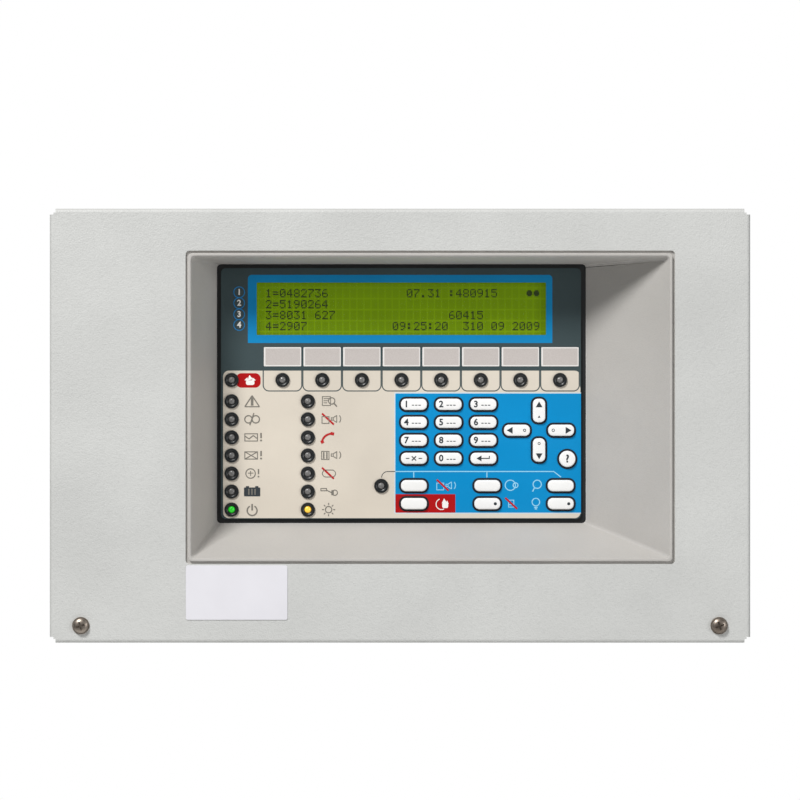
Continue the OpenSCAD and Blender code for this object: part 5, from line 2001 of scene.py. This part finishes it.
@dataclass
class Harness(Assembly):
    """Battery leads and the flat cable between the boards."""

    radius: float = 1.3
    ways: int = 20
    flat_width: float = 25.4
    flat_x: float = 56.0
    fold: float = 4.0
    # Finish, slot and points of each lead, from its exit to its far end
    leads: ClassVar[dict[str, tuple[str, str, tuple[Point, ...]]]] = {
        "battery_lead_red": ("red_insulation", "wire_red", (
            (-13, -57, -6.4), (-13, -57, -2.4), (-14, -56, 3), (-17, -55, 8), (-22, -51, 11), (-28, -45, 12),
            (-34, -38, 12), (-38, -32, 12), (-39, -26.8, 10.6), (-39, -20.8, 10.6),
        )),
        "battery_lead_black": ("black_insulation", "wire_black", (
            (13, -12, -6.4), (13, -12, -2.4), (10, -13, 2), (4, -19, 5), (-3, -26, 6), (-10, -33, 7),
            (-17, -38, 8), (-23, -38, 9), (-28, -33, 10), (-29, -26.8, 10.6), (-29, -20.8, 10.6),
        )),
        "battery_link": ("black_insulation", "wire_black", (
            (-13, -12, -6.4), (-13, -12, -3.4), (-11, -14, 0), (-7, -19, 1), (-3, -26, 1), (1, -34, 1),
            (5, -42, 1), (9, -49, 1), (12, -54, 0), (13, -57, -3.4), (13, -57, -6.4),
        )),
    }

    @staticmethod
    def smooth_route(points: Sequence[Point], steps: int = 3) -> list[Point]:
        """Lay one smooth curve through the points of a route.

        Args:
            points: Points of the route.
            steps: Points for each stretch.

        Returns:
            Close points along the curve.
        """
        ends = [points[0], *points, points[-1]]
        line = []
        for k in range(len(points) - 1):
            p0, p1, p2, p3 = (Vector(p) for p in ends[k : k + 4])
            for t in (step / steps for step in range(steps)):
                bend = (2 * p0 - 5 * p1 + 4 * p2 - p3) * t**2 + (3 * p1 - p0 - 3 * p2 + p3) * t**3
                line.append(tuple(0.5 * (2 * p1 + (p2 - p0) * t + bend)))
        return [*line, tuple(points[-1])]

    @staticmethod
    def thread(name: str, line: Sequence[Sequence[float]], dimensions: str = "3D") -> Thing:
        """Make a curve through points in millimetres.

        Args:
            name: Curve's name.
            line: Points of the curve.
            dimensions: 2D for an outline, 3D for a line in space.

        Returns:
            The curve's object.
        """
        curve = bpy.data.curves.new(name, "CURVE")
        curve.dimensions = dimensions
        spline = curve.splines.new("POLY")
        spline.points.add(len(line) - 1)
        for point, place in zip(spline.points, line):
            point.co = (*metres(place), 1.0)
        obj = bpy.data.objects.new(name, curve)
        bpy.context.scene.collection.objects.link(obj)
        return obj

    @staticmethod
    def declare(obj: Thing, line: Sequence[Point], width: float, **more: object) -> None:
        """Measure the route of a cord that goes back into the object; the length is not used.

        Args:
            obj: The cord; not used.
            line: Points that it follows, in millimetres.
            width: Its diameter, or a flat cable's width; not used.
            **more: Further facts of the cord; not used.
        """
        length = sum((Vector(b) - Vector(a)).length for a, b in zip(line, line[1:]))
        metres(line[0])

    def wire(self, name: str) -> None:
        """Lay one lead as a round wire along its route.

        Args:
            name: Frame node of the lead.
        """
        finish, slot, points = self.leads[name]
        line = self.smooth_route(points)
        obj = self.thread(f"{name}_wire", line)
        obj.data.bevel_depth = self.radius * MM
        obj.data.bevel_resolution = 4
        obj.data.use_fill_caps = True
        self.palette.dress(obj, finish)
        self.hand_over(obj, Body.BOX, slot, name)
        self.declare(obj, line, 2 * self.radius)

    def flat_line(self) -> list[Point]:
        """Return the flat cable's centre line, bent by half turns into two standing folds."""
        line = [(self.flat_x, -78.0, 20.0)]
        for y, z, start, end in (
            (-69.1, 24.0, -90, 0), (-61.1, 70.0, 180, 0), (-53.1, 34.0, 180, 360), (-45.1, 70.0, 180, 0),
            (-37.1, 24.0, 180, 270),
        ):
            for angle in (math.radians(start + (end - start) * k / 10) for k in range(11)):
                line.append((self.flat_x, y + self.fold * math.cos(angle), z + self.fold * math.sin(angle)))
        return [*line, (self.flat_x, -12.8, 20.0)]

    def flat_cable(self) -> Thing:
        """Shape the ribbed flat cable along its folds.

        Returns:
            The flat cable.
        """
        outline = []
        for side in (1, -1):
            for part in range(4 * self.ways):
                across = part / 4 * self.flat_width / self.ways - self.flat_width / 2
                swell = 0.30 + 0.19 * math.sin(math.pi * (part % 4) / 4)
                outline.append((side * across, side * swell, 0.0))
        section = self.thread("flat_cable_section", outline, "2D")
        section.data.splines[0].use_cyclic_u = True
        obj = self.thread("flat_cable", self.flat_line())
        obj.data.twist_mode = "MINIMUM"
        obj.data.bevel_mode = "OBJECT"
        obj.data.bevel_object = section
        obj.data.use_fill_caps = True
        Bench.pick(obj)
        bpy.ops.object.convert(target="MESH")
        obj = bpy.context.active_object
        bpy.data.objects.remove(section)
        self.palette.dress(obj, "flat_cable")
        return Bench.settle(obj, "flat_cable_ribbed", 60)

    def build(self) -> None:
        """Lay the leads and the flat cable, which runs in folds from the cover to the box."""
        for name in self.leads:
            self.wire(name)
        cable, line = self.flat_cable(), self.flat_line()
        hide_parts("ribbon_cable")
        self.declare(cable, line, self.flat_width, path=[metres(point) for point in line])
        start, end = (metres((self.flat_x, y, 45.0)) for y in (-74.0, -16.0))
        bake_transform(cable)
        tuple(start)
        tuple(end)


def main() -> None:
    """Build the looks of the whole panel in order."""
    logging.basicConfig(level=logging.INFO, format="%(name)s: %(message)s")
    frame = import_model()
    Studio().build()
    palette = Palette()
    for assembly in (Harness, Enclosure, DisplayUnit, OverlayPrint, Indicators, Keypad, Batteries, MainBoard):
        assembly(palette, frame["nodes"]).build()
        LOG.info("%s finished", assembly.__name__)
    Bench.clear()


if __name__ == "__main__":
    main()
